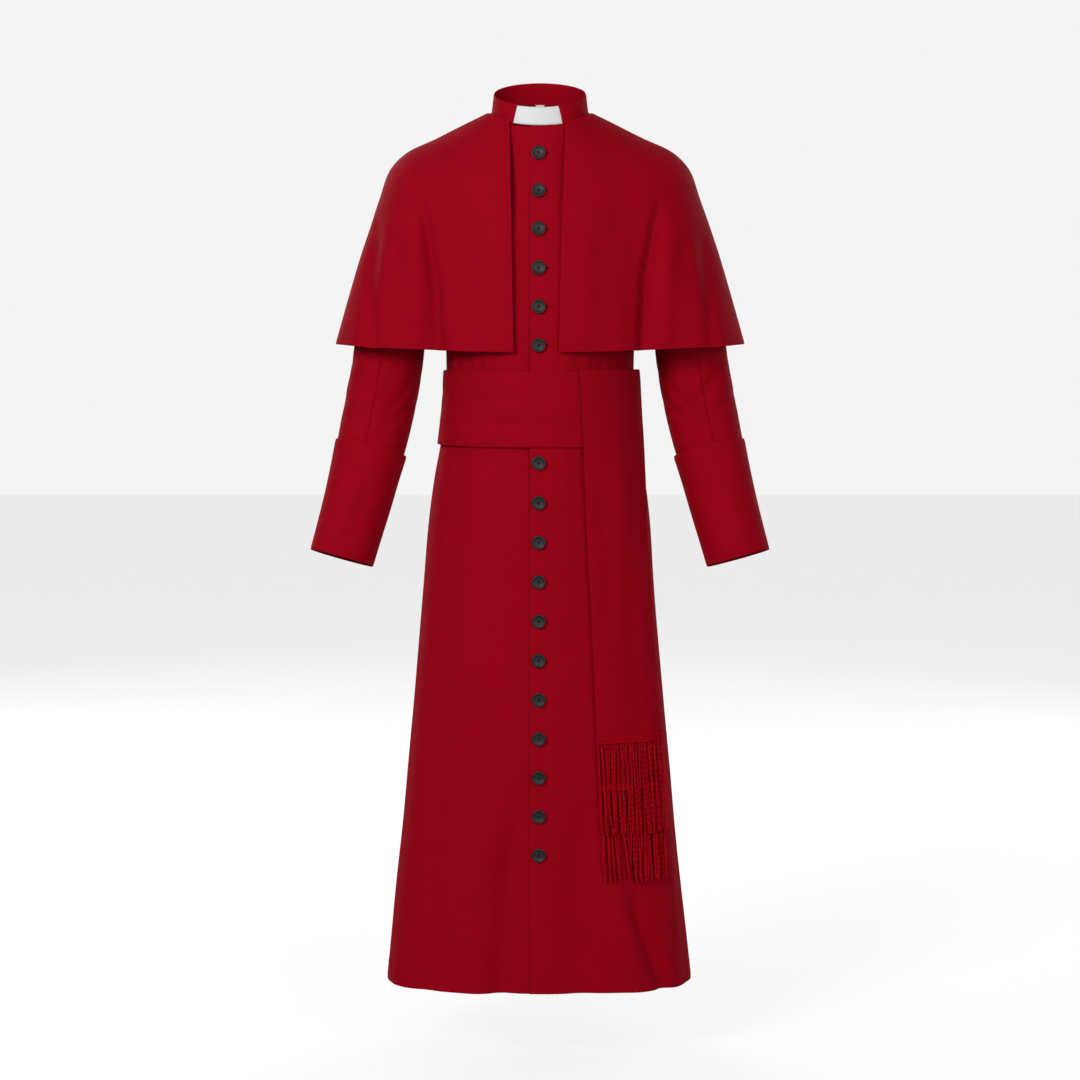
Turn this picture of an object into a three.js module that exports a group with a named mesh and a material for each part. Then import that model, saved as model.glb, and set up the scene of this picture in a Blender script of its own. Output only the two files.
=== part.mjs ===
// A cassock with an elbow-length shoulder cape, a stand collar with a white tab, turned-back cuffs, a
// buttoned front, deep side-back pleats and a sash with two fringed falls, filled out as it hangs when worn.
// Millimetres, +Z up, the front towards -Y and the wearer's left at +X.
// The origin is the centre of the neck at the height of the collar seam.
// A turn is an angle round the wearer: 0 at the centre front, 90 at the left side, 180 at the centre back.
import * as THREE from "three";

// Cloth
const CLOTH = 1.5; // thickness of every cloth wall
const SEAM_GAP = 0.3; // between two pieces sewn edge to edge

// Collar and neck
const NECK = { half: 77, deep: 62, rise: 22 }; // the collar seam, an ellipse that rises from front to back
const COLLAR = { height: 32.5, taper: 4 };
const COLLAR_FRONT = { left: 37, right: 44, slant: 8 }; // distance of the collar's ends from the centre
const TAB = { left: 50, right: 57, height: 30, inset: 2.4, thickness: 1 };
const COLLAR_FOOT = 0.025; // share of the height between the seam and the band's lower edge
const LABEL = { width: 14, height: 18, thickness: 1, y: 57, drop: 2 };

// Front closing
const LAP_X = -16; // the left front's edge
const UNDERLAP_X = 30; // the right front's edge, under the left front
const FRONT_EDGES = [LAP_X, 7, UNDERLAP_X]; // the x of each front's first columns, which run straight down
const LAP_LIFT = 2.4; // how far the left front stands off the right front
const LAP_END_X = 60;

// Shoulders
const NECK_POINT_TURN = 96; // where the shoulder seam meets the collar seam
const SHOULDER_TIP = new THREE.Vector3(205, 46, -68);
const ARMHOLE_SCOOP = 14;
const ARMHOLE_GAP = 3.4; // from the body's rim to the sleeve's, which meet at an angle
const SHOULDER_FULLNESS = 0.5; // from 0, a flat slope up to the shoulder seam, to 1, a quarter circle
const SHOULDER_SLOPE = 1.6; // above 1, the upper chest stays upright before it turns in to the shoulder seam
const YOKE_ROWS = 6; // rows from the armpit to the shoulder

// Sash, falls and fringe
const SASH = { top: -402, middle: -460, bottom: -519, lift: 5, lapLift: 2.6 };
const SASH_LAP = { from: 118, full: 146, end: 213, start: -210 }; // turns along the wound band
const FALL = {
  top: -399,
  centreTop: 102,
  centreBottom: 136,
  widthTop: 88,
  widthBottom: 96,
  columns: 6,
  shortest: 20, // a row of the skirt nearer to a fall's end than this is left out
};
const FALL_EASE_Z = -640; // below this a fall lies on the skirt, clear of the sash
const FALL_FRONT = { bottom: -977, onSash: 12.2, onSkirt: 9.6 };
const FALL_REAR = { bottom: -1052, onSash: 8.6, onSkirt: 5.6 };
const FRINGE_FRONT = { bottom: -1131, lift: 10.2, thickness: 3.5 };
const FRINGE_REAR = { bottom: -1207, lift: 5.8, thickness: 3 };

// Buttons
const BUTTON = { radius: 11, rim: 1.4, height: 5.2, x: -2 };
const BUTTONS_UPPER = { count: 6, first: -64, pitch: 59.4 };
const BUTTONS_LOWER = { count: 11, first: -543, pitch: 61.6 };

// Sections of the body from the armpit to the hem. half is the greatest half width, and front, side and back
// are the y of the centre front, of the widest point and of the centre back. square is 2 for an ellipse.
const BODY = [
  { z: -235, half: 172, front: -111, side: 8, back: 136, square: 2.3 },
  { z: -300, half: 158, front: -117, side: 8, back: 139, square: 2.3 },
  { z: -362, half: 150, front: -119, side: 9, back: 140, square: 2.2 },
  { z: -402, half: 149, front: -119, side: 10, back: 140, square: 2.1 },
  { z: -460, half: 152, front: -118, side: 10, back: 140, square: 2.1 },
  { z: -490, half: 155.5, front: -117.5, side: 10, back: 141, square: 2.1 },
  { z: -519, half: 159, front: -117, side: 10, back: 142, square: 2.1 },
  { z: -570, half: 168, front: -117, side: 10, back: 146, square: 2.2 },
  { z: -640, half: 177, front: -116, side: 10, back: 150, square: 2.2 },
  { z: -740, half: 186, front: -115, side: 11, back: 157, square: 2.3 },
  { z: -850, half: 195, front: -114, side: 12, back: 166, square: 2.4 },
  { z: -970, half: 206, front: -113, side: 13, back: 175, square: 2.5 },
  { z: -1100, half: 218, front: -111, side: 14, back: 185, square: 2.6 },
  { z: -1240, half: 233, front: -109, side: 15, back: 196, square: 2.7 },
  { z: -1382, half: 247, front: -107, side: 16, back: 205, square: 2.8 },
];

// The side-back pleats. fold is the x of the back panel's edge, tuck is the x of the hidden inner fold,
// under is the back depth of the side panel's section, and half and mid shape the back panel's own section.
const PLEAT = [
  { z: -489, fold: 149.5, tuck: 149.5, under: 126, half: 156, mid: 10 },
  { z: -519, fold: 148, tuck: 137, under: 118, half: 159, mid: 10 },
  { z: -570, fold: 145, tuck: 128, under: 114, half: 164, mid: 14 },
  { z: -640, fold: 141, tuck: 122, under: 114, half: 166, mid: 24 },
  { z: -740, fold: 138, tuck: 116, under: 116, half: 169, mid: 38 },
  { z: -850, fold: 139, tuck: 112, under: 118, half: 174, mid: 56 },
  { z: -970, fold: 145, tuck: 112, under: 120, half: 181, mid: 76 },
  { z: -1100, fold: 153, tuck: 114, under: 121, half: 188, mid: 96 },
  { z: -1240, fold: 159, tuck: 117, under: 121, half: 196, mid: 116 },
  { z: -1382, fold: 164, tuck: 120, under: 120, half: 203, mid: 134 },
];
const UNDERLAY_TOP = -740; // the pleat is a flat overlap above this
const UNDERLAY_STEPS = 3;
const UNDERLAY_CLEAR = { tuck: [-2.5, 0], fold: [-2.6, -3.4] }; // x and y that keep it inside its neighbours

// Sections of the cape from the hem to the neck, with the heights of its front, side and back.
const CAPE = [
  { half: 326, front: -127, side: 18, back: 166, zFront: -372, zSide: -360, zBack: -364 },
  { half: 304, front: -125, side: 26, back: 157, zFront: -308, zSide: -282, zBack: -288 },
  { half: 280, front: -121, side: 34, back: 148, zFront: -245, zSide: -200, zBack: -210 },
  { half: 256, front: -114.5, side: 43, back: 140, zFront: -192, zSide: -130, zBack: -145 },
  { half: 238, front: -106, side: 50, back: 131, zFront: -153, zSide: -82, zBack: -98 },
  { half: 214, front: -96, side: 56, back: 120, zFront: -120, zSide: -57, zBack: -60 },
  { half: 165, front: -83, side: 56, back: 104, zFront: -84, zSide: -33, zBack: -25 },
  { half: 115, front: -72, side: 36, back: 86, zFront: -48, zSide: -10, zBack: 5 },
  { half: 83, front: -68, side: 2, back: 68, zFront: -20, zSide: 3, zBack: 24 },
];
const CAPE_SHOULDER_TURN = 84;
const CAPE_EDGE = { left: 29, right: 41, leftNeck: 40, rightNeck: 48 };

// Soft flutes of the cape, deepest at its hem: in is how far the cloth sinks, and below zero it swells.
const CAPE_FLUTES = [
  { turn: 33, spread: 9, in: 20 },
  { turn: 57, spread: 10, in: -8 },
  { turn: 122, spread: 9, in: -18 },
  { turn: 138, spread: 8, in: 20 },
  { turn: 172, spread: 7, in: -6 },
  { turn: 188, spread: 6, in: 8 },
  { turn: 222, spread: 8, in: 20 },
  { turn: 238, spread: 9, in: -18 },
  { turn: 303, spread: 10, in: -8 },
  { turn: 327, spread: 9, in: 20 },
];
const FLUTE_START = 0.25; // how far down from the neck the flutes begin
const FLUTE_GROWTH = 1.3;
const CAPE_COLUMNS = { front: 11, back: 28 };

// Rings of the left sleeve from the wrist to the upper arm: centre, and radii across and from front to back.
const SLEEVE = [
  { x: 313, y: -21, z: -690, across: 47, deep: 46 },
  { x: 301, y: -15, z: -648, across: 48, deep: 47 },
  { x: 288, y: -6, z: -600, across: 50, deep: 49 },
  { x: 276, y: 4, z: -550, across: 53, deep: 51 },
  { x: 266, y: 12, z: -508, across: 55.5, deep: 53 },
  { x: 256, y: 20, z: -460, across: 57, deep: 54 },
  { x: 246, y: 24, z: -405, across: 57, deep: 55 },
  { x: 237, y: 26, z: -340, across: 55, deep: 57 },
  { x: 229, y: 26, z: -272, across: 49, deep: 59 },
];
const SLEEVE_CAP = { share: 0.5, swell: 12, clear: 17 }; // the head, between the last ring and the rim
// The top sleeve runs from one of the armhole's points to another, in front and behind.
const SLEEVE_SEAMS = { front: 3, behind: 12 };
const CUFF_SIDES = 20;
const CUFF = [
  { x: 315, y: -22.5, z: -699, across: 51.5, deep: 50.5 },
  { x: 303, y: -16, z: -656, across: 52.5, deep: 51.5 },
  { x: 291, y: -8, z: -612, across: 54, deep: 53 },
  { x: 279, y: 1, z: -564, across: 56, deep: 55 },
  { x: 269.5, y: 9, z: -526, across: 58.5, deep: 57 },
];

// Where the columns of each panel run, and where they end at the top: on the collar seam at a turn of neck,
// or on the shoulder seam at a share of its length. A column without either ends at the armpit.
const FRONT_COLUMNS = [
  { turn: 18, neck: 45 },
  { turn: 27, neck: NECK_POINT_TURN },
  { turn: 36, shoulder: 0.28 },
  { turn: 46, shoulder: 0.62 },
  { turn: 57, shoulder: 1 },
  { turn: 65 },
  { turn: 72 },
];
const BACK_COLUMNS = [
  { share: 1 },
  { share: 0.95 },
  { share: 0.87, shoulder: 1 },
  { share: 0.71, shoulder: 0.62 },
  { share: 0.55, shoulder: 0.28 },
  { share: 0.43, neck: NECK_POINT_TURN },
  { share: 0.22, neck: 142 },
  { share: 0, neck: 180 },
];
const SIDE_COLUMNS = 7;
const SIDE_TURN = 72;
const BACK_TURN = 106; // the side-back seam above the pleats

const RED = new THREE.Color(0x98031b);
const cloth = () => new THREE.MeshStandardMaterial({ color: RED, roughness: 0.85, metalness: 0 });
const linen = () => new THREE.MeshStandardMaterial({ color: 0xe9e9e9, roughness: 0.6, metalness: 0 });
const horn = () => new THREE.MeshStandardMaterial({ color: 0x242226, roughness: 0.55, metalness: 0 });

const group = new THREE.Group();

// ---------------------------------------------------------------- helpers

const radians = THREE.MathUtils.degToRad;
const lerp = THREE.MathUtils.lerp;
const evenly = (from, to, steps) => Array.from({ length: steps + 1 }, (_, k) => lerp(from, to, k / steps));

// The values of a table's row at height z, smoothly between its rows.
function sectionAt(table, z) {
  const last = table.length - 1;
  let i = table.findIndex((row) => row.z <= z);
  if (i === 0) return table[0];
  if (i < 0) i = last;
  const low = table[i];
  const high = table[i - 1];
  const share = THREE.MathUtils.clamp((z - high.z) / (low.z - high.z), 0, 1);
  const section = { z };
  for (const key of Object.keys(low)) {
    if (key !== "z") section[key] = lerp(high[key], low[key], share);
  }
  return section;
}

// A point of a section: x from the turn, and y on a rounded rectangle of the given squareness.
function onSection(section, turn, square, z) {
  const s = Math.sin(radians(turn));
  const reach = Math.pow(Math.max(0, 1 - Math.pow(Math.abs(s), square)), 1 / square);
  const forward = Math.cos(radians(turn)) >= 0;
  const y = lerp(section.side, forward ? section.front : section.back, reach);
  return new THREE.Vector3(section.half * s, y, z);
}

const turnOfX = (x, half) => THREE.MathUtils.radToDeg(Math.asin(THREE.MathUtils.clamp(x / half, -1, 1)));

// A point of the body's base surface, without pleats or lap.
function bodyPoint(turn, z) {
  const section = sectionAt(BODY, z);
  return onSection(section, turn, section.square, z);
}

const bodyPointAtX = (x, z) => bodyPoint(turnOfX(x, sectionAt(BODY, z).half), z);

// A point of the collar seam.
function neckPoint(turn) {
  const t = radians(turn);
  return new THREE.Vector3(
    NECK.half * Math.sin(t),
    -NECK.deep * Math.cos(t),
    -NECK.rise * Math.cos(t),
  );
}

function neckPointAtX(x) {
  return neckPoint(turnOfX(x, NECK.half));
}

// The outward normals of a grid of points whose rows run up and whose columns run towards greater turns.
function withNormals(points, closed = false) {
  const rows = points.length;
  const cols = points[0].length;
  const pick = (i, j) => points[i][closed ? (j + cols) % cols : THREE.MathUtils.clamp(j, 0, cols - 1)];
  return points.map((row, i) =>
    row.map((point, j) => {
      const along = pick(i, j + 1).clone().sub(pick(i, j - 1));
      const up = pick(Math.min(i + 1, rows - 1), j).clone().sub(pick(Math.max(i - 1, 0), j));
      return { point: point.clone(), normal: along.cross(up).normalize() };
    }),
  );
}

// Gives points that two panels share the mean of their normals, so that their walls stay parallel.
function shareNormals(grids) {
  const shared = new Map();
  for (const knot of grids.flat(2)) {
    if (!knot) continue;
    const key = knot.point.toArray().map((v) => Math.round(v * 100)).join();
    if (!shared.has(key)) shared.set(key, []);
    shared.get(key).push(knot);
  }
  for (const knots of shared.values()) {
    if (knots.length < 2) continue;
    const mean = new THREE.Vector3();
    knots.forEach((knot) => mean.add(knot.normal));
    mean.normalize();
    knots.forEach((knot) => knot.normal.copy(mean));
  }
}

// Moves a knot towards its neighbour by a distance.
function nudge(knot, towards, distance) {
  const step = towards.point.clone().sub(knot.point);
  return { point: knot.point.clone().addScaledVector(step.normalize(), distance), normal: knot.normal };
}

// Draws the side edges of a grid back by half a seam gap.
function drawInSides(grid, first = true, last = true) {
  return grid.map((row) =>
    row.map((knot, j) => {
      if (!knot) return knot;
      if (first && j === 0 && row[1]) return nudge(knot, row[1], SEAM_GAP / 2);
      if (last && j === row.length - 1 && row[j - 1]) return nudge(knot, row[j - 1], SEAM_GAP / 2);
      return knot;
    }),
  );
}

// Draws the top edge of a grid down by a distance.
function drawInTop(grid, distance) {
  const top = grid.length - 1;
  const lowered = grid[top].map((knot, j) => knot && nudge(knot, grid[top - 1][j], distance));
  return [...grid.slice(0, top), lowered];
}

// One closed wall from a grid of knots: the points are its outer face, and its inner face lies a thickness
// inside. A missing knot leaves a gap in the wall, such as an armhole.
function clothWall(grid, { thickness = CLOTH, closed = false } = {}) {
  const rows = grid.length;
  const cols = grid[0].length;
  const cells = closed ? cols : cols - 1;
  const positions = [];
  for (const side of [0, thickness]) {
    for (const knot of grid.flat()) {
      const at = knot ? knot.point.clone().addScaledVector(knot.normal, -side) : new THREE.Vector3();
      positions.push(...at.toArray());
    }
  }
  const inward = rows * cols;
  const at = (i, j) => i * cols + ((j + cols) % cols);
  const whole = (i, j) => {
    if (i < 0 || i >= rows - 1) return false;
    if (!closed && (j < 0 || j >= cells)) return false;
    return [at(i, j), at(i, j + 1), at(i + 1, j), at(i + 1, j + 1)].every(
      (k) => grid[Math.floor(k / cols)][k % cols],
    );
  };
  const index = [];
  const quad = (a, b, c, d) => index.push(a, b, c, a, c, d);
  for (let i = 0; i < rows - 1; i++) {
    for (let j = 0; j < cells; j++) {
      if (!whole(i, j)) continue;
      const [a, b, c, d] = [at(i, j), at(i, j + 1), at(i + 1, j + 1), at(i + 1, j)];
      quad(a, b, c, d);
      quad(a + inward, d + inward, c + inward, b + inward);
      const edges = [
        [i - 1, j, a, b],
        [i, j + 1, b, c],
        [i + 1, j, c, d],
        [i, j - 1, d, a],
      ];
      for (const [ni, nj, from, to] of edges) {
        if (!whole(ni, nj)) quad(to, from, from + inward, to + inward);
      }
    }
  }
  const geometry = new THREE.BufferGeometry();
  geometry.setAttribute("position", new THREE.Float32BufferAttribute(positions, 3));
  geometry.setIndex(index);
  const flat = geometry.toNonIndexed();
  flat.computeVertexNormals();
  return flat;
}

function addPiece(name, geometry, material) {
  const mesh = new THREE.Mesh(geometry, material);
  mesh.name = name;
  group.add(mesh);
  return mesh;
}

// The other side's piece: x changes sign, and each face is turned round to point outwards again.
function mirrored(geometry) {
  const copy = geometry.clone();
  const position = copy.getAttribute("position");
  for (let i = 0; i < position.count; i += 3) {
    const corners = [0, 1, 2].map((k) => new THREE.Vector3().fromBufferAttribute(position, i + k));
    [corners[0], corners[2], corners[1]].forEach((corner, k) => {
      position.setXYZ(i + k, -corner.x, corner.y, corner.z);
    });
  }
  copy.computeVertexNormals();
  return copy;
}

// ---------------------------------------------------------------- body and skirt

const BODY_HEIGHTS = BODY.map((row) => row.z).reverse();

// A point between the armpit and a top edge. It rounds over the chest towards the collar seam, and rounds
// more fully towards the shoulder seam.
function yokePoint(base, top, share, onShoulder, edge) {
  const gentle = share * share * (3 - 2 * share);
  const full = 1 - Math.sqrt(1 - share * share);
  const ease = onShoulder ? lerp(gentle, full, SHOULDER_FULLNESS) : gentle;
  const point = new THREE.Vector3(
    lerp(base.x, top.x, onShoulder ? Math.pow(share, SHOULDER_SLOPE) : share),
    lerp(base.y, top.y, ease),
    lerp(base.z, top.z, share),
  );
  if (edge) point.x -= Math.sign(point.x) * ARMHOLE_SCOOP * Math.sin(Math.PI * share) * (1 - share);
  return point;
}

const shoulderPoint = (share) => neckPoint(NECK_POINT_TURN).lerp(SHOULDER_TIP, share);

function topOf(column) {
  if (column.neck !== undefined) return neckPoint(column.neck);
  if (column.shoulder !== undefined) return shoulderPoint(column.shoulder);
  return null;
}

// The knots of one column from the hem to its top.
function columnPoints(column, bodyAt) {
  const points = BODY_HEIGHTS.map((z) => bodyAt(z));
  const base = points[points.length - 1];
  const top = column.x === undefined ? topOf(column) : neckPointAtX(column.x);
  if (top && base.x < 0 && column.x === undefined) top.x = -top.x;
  for (let k = 1; k <= YOKE_ROWS; k++) {
    const share = k / YOKE_ROWS;
    const round = column.shoulder !== undefined;
    points.push(top ? yokePoint(base, top, share, round, column.shoulder === 1) : null);
  }
  return points;
}

const transpose = (columns) => columns[0].map((_, i) => columns.map((column) => column[i]));

// Normals of a grid that may lack knots: only knots that exist count.
function panelKnots(points) {
  const rows = points.length;
  const cols = points[0].length;
  const pick = (i, j, di, dj) => {
    const near = points[i + di]?.[j + dj];
    return near ?? points[i][j];
  };
  return points.map((row, i) =>
    row.map((point, j) => {
      if (!point) return null;
      const along = pick(i, j, 0, j < cols - 1 ? 1 : 0).clone().sub(pick(i, j, 0, j > 0 ? -1 : 0));
      const up = pick(i, j, i < rows - 1 ? 1 : 0, 0).clone().sub(pick(i, j, i > 0 ? -1 : 0, 0));
      return { point: point.clone(), normal: along.cross(up).normalize() };
    }),
  );
}

function frontPanel(side, edges) {
  const columns = [];
  for (const x of edges) columns.push(columnPoints({ x }, (z) => bodyPointAtX(x, z)));
  for (const column of FRONT_COLUMNS) {
    columns.push(columnPoints(column, (z) => bodyPoint(side * column.turn, z)));
  }
  if (side < 0) columns.reverse();
  return panelKnots(transpose(columns));
}

// The left front stands off the right front where it laps over it.
function liftLap(grid) {
  return grid.map((row) =>
    row.map((knot) => {
      if (!knot) return knot;
      const share = THREE.MathUtils.clamp((LAP_END_X - knot.point.x) / (LAP_END_X - UNDERLAP_X), 0, 1);
      return {
        point: knot.point.clone().addScaledVector(knot.normal, LAP_LIFT * share),
        normal: knot.normal,
      };
    }),
  );
}

// The side panel runs from the front's seam to the seam with the back, and lower down to the pleat's tuck.
function sideTurnEnd(z) {
  if (z > PLEAT[0].z) return BACK_TURN;
  return 180 - turnOfX(sectionAt(PLEAT, z).tuck, sectionAt(BODY, z).half);
}

function sidePanel() {
  const points = BODY_HEIGHTS.map((z) => {
    const section = sectionAt(BODY, z);
    const under = z > PLEAT[0].z ? section.back : sectionAt(PLEAT, z).under;
    const row = [];
    for (let j = 0; j < SIDE_COLUMNS; j++) {
      const turn = lerp(SIDE_TURN, sideTurnEnd(z), j / (SIDE_COLUMNS - 1));
      row.push(onSection({ ...section, back: under }, turn, section.square, z));
    }
    return row;
  });
  return withNormals(points);
}

// The back panel's section: the body's own above the pleats, and flatter and further back below.
function backPanelPoint(share, z) {
  const section = sectionAt(BODY, z);
  if (z > PLEAT[0].z) {
    const x = share * section.half * Math.sin(radians(BACK_TURN));
    return onSection(section, 180 - turnOfX(x, section.half), section.square, z);
  }
  const pleat = sectionAt(PLEAT, z);
  const x = share * pleat.fold;
  const own = { half: pleat.half, side: pleat.mid, back: section.back };
  return onSection(own, 180 - turnOfX(x, pleat.half), 2, z);
}

function backPanel() {
  const left = BACK_COLUMNS;
  const right = BACK_COLUMNS.slice(0, -1).reverse().map((column) => ({ ...column, share: -column.share }));
  const columns = [...left, ...right].map((column) =>
    columnPoints(column, (z) => backPanelPoint(column.share, z)),
  );
  return panelKnots(transpose(columns));
}

// The underlay of the left pleat, from the side panel's tuck to the back panel's fold.
function pleatUnderlay() {
  const heights = BODY_HEIGHTS.filter((z) => z <= UNDERLAY_TOP);
  const points = heights.map((z) => {
    const section = sectionAt(BODY, z);
    const pleat = sectionAt(PLEAT, z);
    const from = onSection({ ...section, back: pleat.under }, sideTurnEnd(z), section.square, z);
    const to = backPanelPoint(1, z);
    from.add(new THREE.Vector3(...UNDERLAY_CLEAR.tuck, 0));
    to.add(new THREE.Vector3(...UNDERLAY_CLEAR.fold, 0));
    return evenly(0, 1, UNDERLAY_STEPS).map((share) => from.clone().lerp(to, share));
  });
  return withNormals(points);
}

const leftFront = frontPanel(1, FRONT_EDGES);
const rightFront = frontPanel(-1, FRONT_EDGES.toReversed());
const leftSide = sidePanel();
const back = backPanel();
const rightSide = leftSide.map((row) =>
  row
    .map(({ point, normal }) => ({
      point: new THREE.Vector3(-point.x, point.y, point.z),
      normal: new THREE.Vector3(-normal.x, normal.y, normal.z),
    }))
    .reverse(),
);
shareNormals([leftFront, leftSide, back, rightSide, rightFront]);

const withSeams = (grid, first, last) => drawInTop(drawInSides(grid, first, last), SEAM_GAP / 2);
addPiece("front_right", clothWall(withSeams(rightFront, true, false)), cloth());
addPiece("front_left", clothWall(withSeams(liftLap(leftFront), false, true)), cloth());
const sideWall = clothWall(drawInSides(leftSide));
addPiece("side_left", sideWall, cloth());
addPiece("side_right", mirrored(sideWall), cloth());
addPiece("back_centre", clothWall(withSeams(back, true, true)), cloth());
const underlay = clothWall(pleatUnderlay());
addPiece("pleat_left", underlay, cloth());
addPiece("pleat_right", mirrored(underlay), cloth());

// ---------------------------------------------------------------- sleeves and cuffs

// The rim of the left armhole: up the front, over the shoulder tip, down the back and along the armpit.
function armholeLoop() {
  const armpit = BODY_HEIGHTS.length - 1;
  const frontEdge = leftFront[0].length - 3;
  const backEdge = 2;
  const loop = [];
  for (let i = armpit; i < leftFront.length; i++) loop.push(leftFront[i][frontEdge]);
  for (let i = leftFront.length - 2; i >= armpit; i--) loop.push(back[i][backEdge]);
  loop.push(back[armpit][1]);
  for (let j = SIDE_COLUMNS - 1; j >= 0; j -= 2) loop.push(leftSide[armpit][j]);
  loop.push(leftFront[armpit][frontEdge + 1]);
  return loop;
}

// The share of a closed loop's length at each of its points.
function shares(loop) {
  const steps = loop.map((point, j) => point.distanceTo(loop[(j + 1) % loop.length]));
  const whole = steps.reduce((a, b) => a + b, 0);
  let sum = 0;
  return steps.map((step) => {
    const share = sum / whole;
    sum += step;
    return share;
  });
}

// A ring round the arm, square to its path. angles start at the lower front and run over the outer side.
function armRing(table, i, angles) {
  const row = table[i];
  const centre = new THREE.Vector3(row.x, row.y, row.z);
  const next = table[Math.min(i + 1, table.length - 1)];
  const before = table[Math.max(i - 1, 0)];
  const upArm = new THREE.Vector3(next.x - before.x, next.y - before.y, next.z - before.z).normalize();
  const backwards = new THREE.Vector3(0, 1, 0).addScaledVector(upArm, -upArm.y).normalize();
  const outwards = backwards.clone().cross(upArm);
  return angles.map((angle) =>
    centre
      .clone()
      .addScaledVector(backwards, -row.deep * Math.cos(angle))
      .addScaledVector(outwards, row.across * Math.sin(angle)),
  );
}

const RING_START = -0.9; // radians: the armhole loop begins below the front
const armholeRim = armholeLoop();
const armhole = armholeRim.map((knot) => knot.point.clone());
const armAngles = shares(armhole).map((share) => RING_START + 2 * Math.PI * share);

// The top sleeve and the under sleeve, which meet in a seam down the front and one down the back of the arm.
function sleeves() {
  const rings = SLEEVE.map((_, i) => armRing(SLEEVE, i, armAngles));
  const last = rings[rings.length - 1];
  const cap = armhole.map((rim, j) => {
    const point = last[j].clone().lerp(rim, SLEEVE_CAP.share);
    point.x += SLEEVE_CAP.swell * Math.max(0, Math.sin(armAngles[j]));
    return point.addScaledVector(armholeRim[j].normal, SLEEVE_CAP.clear);
  });
  const grid = drawInTop(withNormals([...rings, cap, armhole], true), ARMHOLE_GAP);
  const { front, behind } = SLEEVE_SEAMS;
  const top = grid.map((row) => row.slice(front, behind + 1));
  const under = grid.map((row) => [...row.slice(behind), ...row.slice(0, front + 1)]);
  return { top: clothWall(drawInSides(top)), under: clothWall(drawInSides(under)) };
}

function cuff() {
  const angles = evenly(RING_START, RING_START + 2 * Math.PI, CUFF_SIDES).slice(0, -1);
  return clothWall(withNormals(CUFF.map((_, i) => armRing(CUFF, i, angles)), true), { closed: true });
}

for (const [part, wall] of Object.entries(sleeves())) {
  addPiece(`sleeve_${part}_left`, wall, cloth());
  addPiece(`sleeve_${part}_right`, mirrored(wall), cloth());
}
const cuffWall = cuff();
addPiece("cuff_left", cuffWall, cloth());
addPiece("cuff_right", mirrored(cuffWall), cloth());

// ---------------------------------------------------------------- collar

// A band that stands on the collar seam, from one turn to another, with the given inset from its outer face.
function standingBand({ from, to, fromTop, toTop, low, high, inset, steps, rows }) {
  const points = [];
  for (let i = 0; i <= rows; i++) {
    const share = lerp(low, high, i / rows);
    const row = [];
    for (let j = 0; j <= steps; j++) {
      const turn = lerp(lerp(from, fromTop, i / rows), lerp(to, toTop, i / rows), j / steps);
      const t = radians(turn);
      const shrink = COLLAR.taper * share + inset;
      row.push(
        new THREE.Vector3(
          (NECK.half - shrink) * Math.sin(t),
          -(NECK.deep - shrink) * Math.cos(t),
          -NECK.rise * Math.cos(t) + COLLAR.height * share,
        ),
      );
    }
    points.push(row);
  }
  return withNormals(points);
}

addPiece(
  "collar_band",
  clothWall(
    standingBand({
      from: turnOfX(COLLAR_FRONT.left, NECK.half),
      to: 360 - turnOfX(COLLAR_FRONT.right, NECK.half),
      fromTop: turnOfX(COLLAR_FRONT.left - COLLAR_FRONT.slant, NECK.half - COLLAR.taper),
      toTop: 360 - turnOfX(COLLAR_FRONT.right - COLLAR_FRONT.slant, NECK.half - COLLAR.taper),
      low: COLLAR_FOOT,
      high: 1,
      inset: 0,
      steps: 26,
      rows: 3,
    }),
  ),
  cloth(),
);
addPiece(
  "collar_tab",
  clothWall(
    standingBand({
      from: -turnOfX(TAB.right, NECK.half),
      to: turnOfX(TAB.left, NECK.half),
      fromTop: -turnOfX(TAB.right, NECK.half),
      toTop: turnOfX(TAB.left, NECK.half),
      low: 2 * COLLAR_FOOT,
      high: TAB.height / COLLAR.height,
      inset: TAB.inset,
      steps: 8,
      rows: 2,
    }),
    { thickness: TAB.thickness },
  ),
  linen(),
);
const label = new THREE.BoxGeometry(LABEL.width, LABEL.thickness, LABEL.height);
label.translate(0, LABEL.y, NECK.rise - LABEL.drop - LABEL.height / 2);
addPiece("neck_label", label, linen());

// ---------------------------------------------------------------- cape

// How far the flutes move the cape at a turn, at a share of the way down from the neck.
function fluteDepth(turn, down) {
  const grow = THREE.MathUtils.clamp((down - FLUTE_START) / (1 - FLUTE_START), 0, 1);
  let depth = 0;
  for (const flute of CAPE_FLUTES) {
    const away = (turn - flute.turn) / flute.spread;
    depth += flute.in * Math.exp(-away * away);
  }
  return depth * Math.pow(grow, FLUTE_GROWTH);
}

function capePoint(turn, level) {
  const section = CAPE[level];
  const cosine = Math.cos(radians(turn));
  const zEnd = cosine > 0 ? section.zFront : section.zBack;
  const point = onSection(section, turn, 2, lerp(section.zSide, zEnd, cosine * cosine));
  const reach = cosine > 0 ? section.side - section.front : section.back - section.side;
  const outward = new THREE.Vector3(
    point.x / (section.half * section.half),
    (point.y - section.side) / (reach * reach),
    0,
  ).normalize();
  const down = 1 - level / (CAPE.length - 1);
  return point.addScaledVector(outward, -fluteDepth(turn, down));
}

// A cape panel between two turns. An end may be a front edge instead, at its distance from the centre.
function capePanel(turns) {
  const points = CAPE.map((section, level) =>
    turns(level / (CAPE.length - 1), section.half).map((turn) => capePoint(turn, level)),
  );
  return withNormals(points);
}

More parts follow.
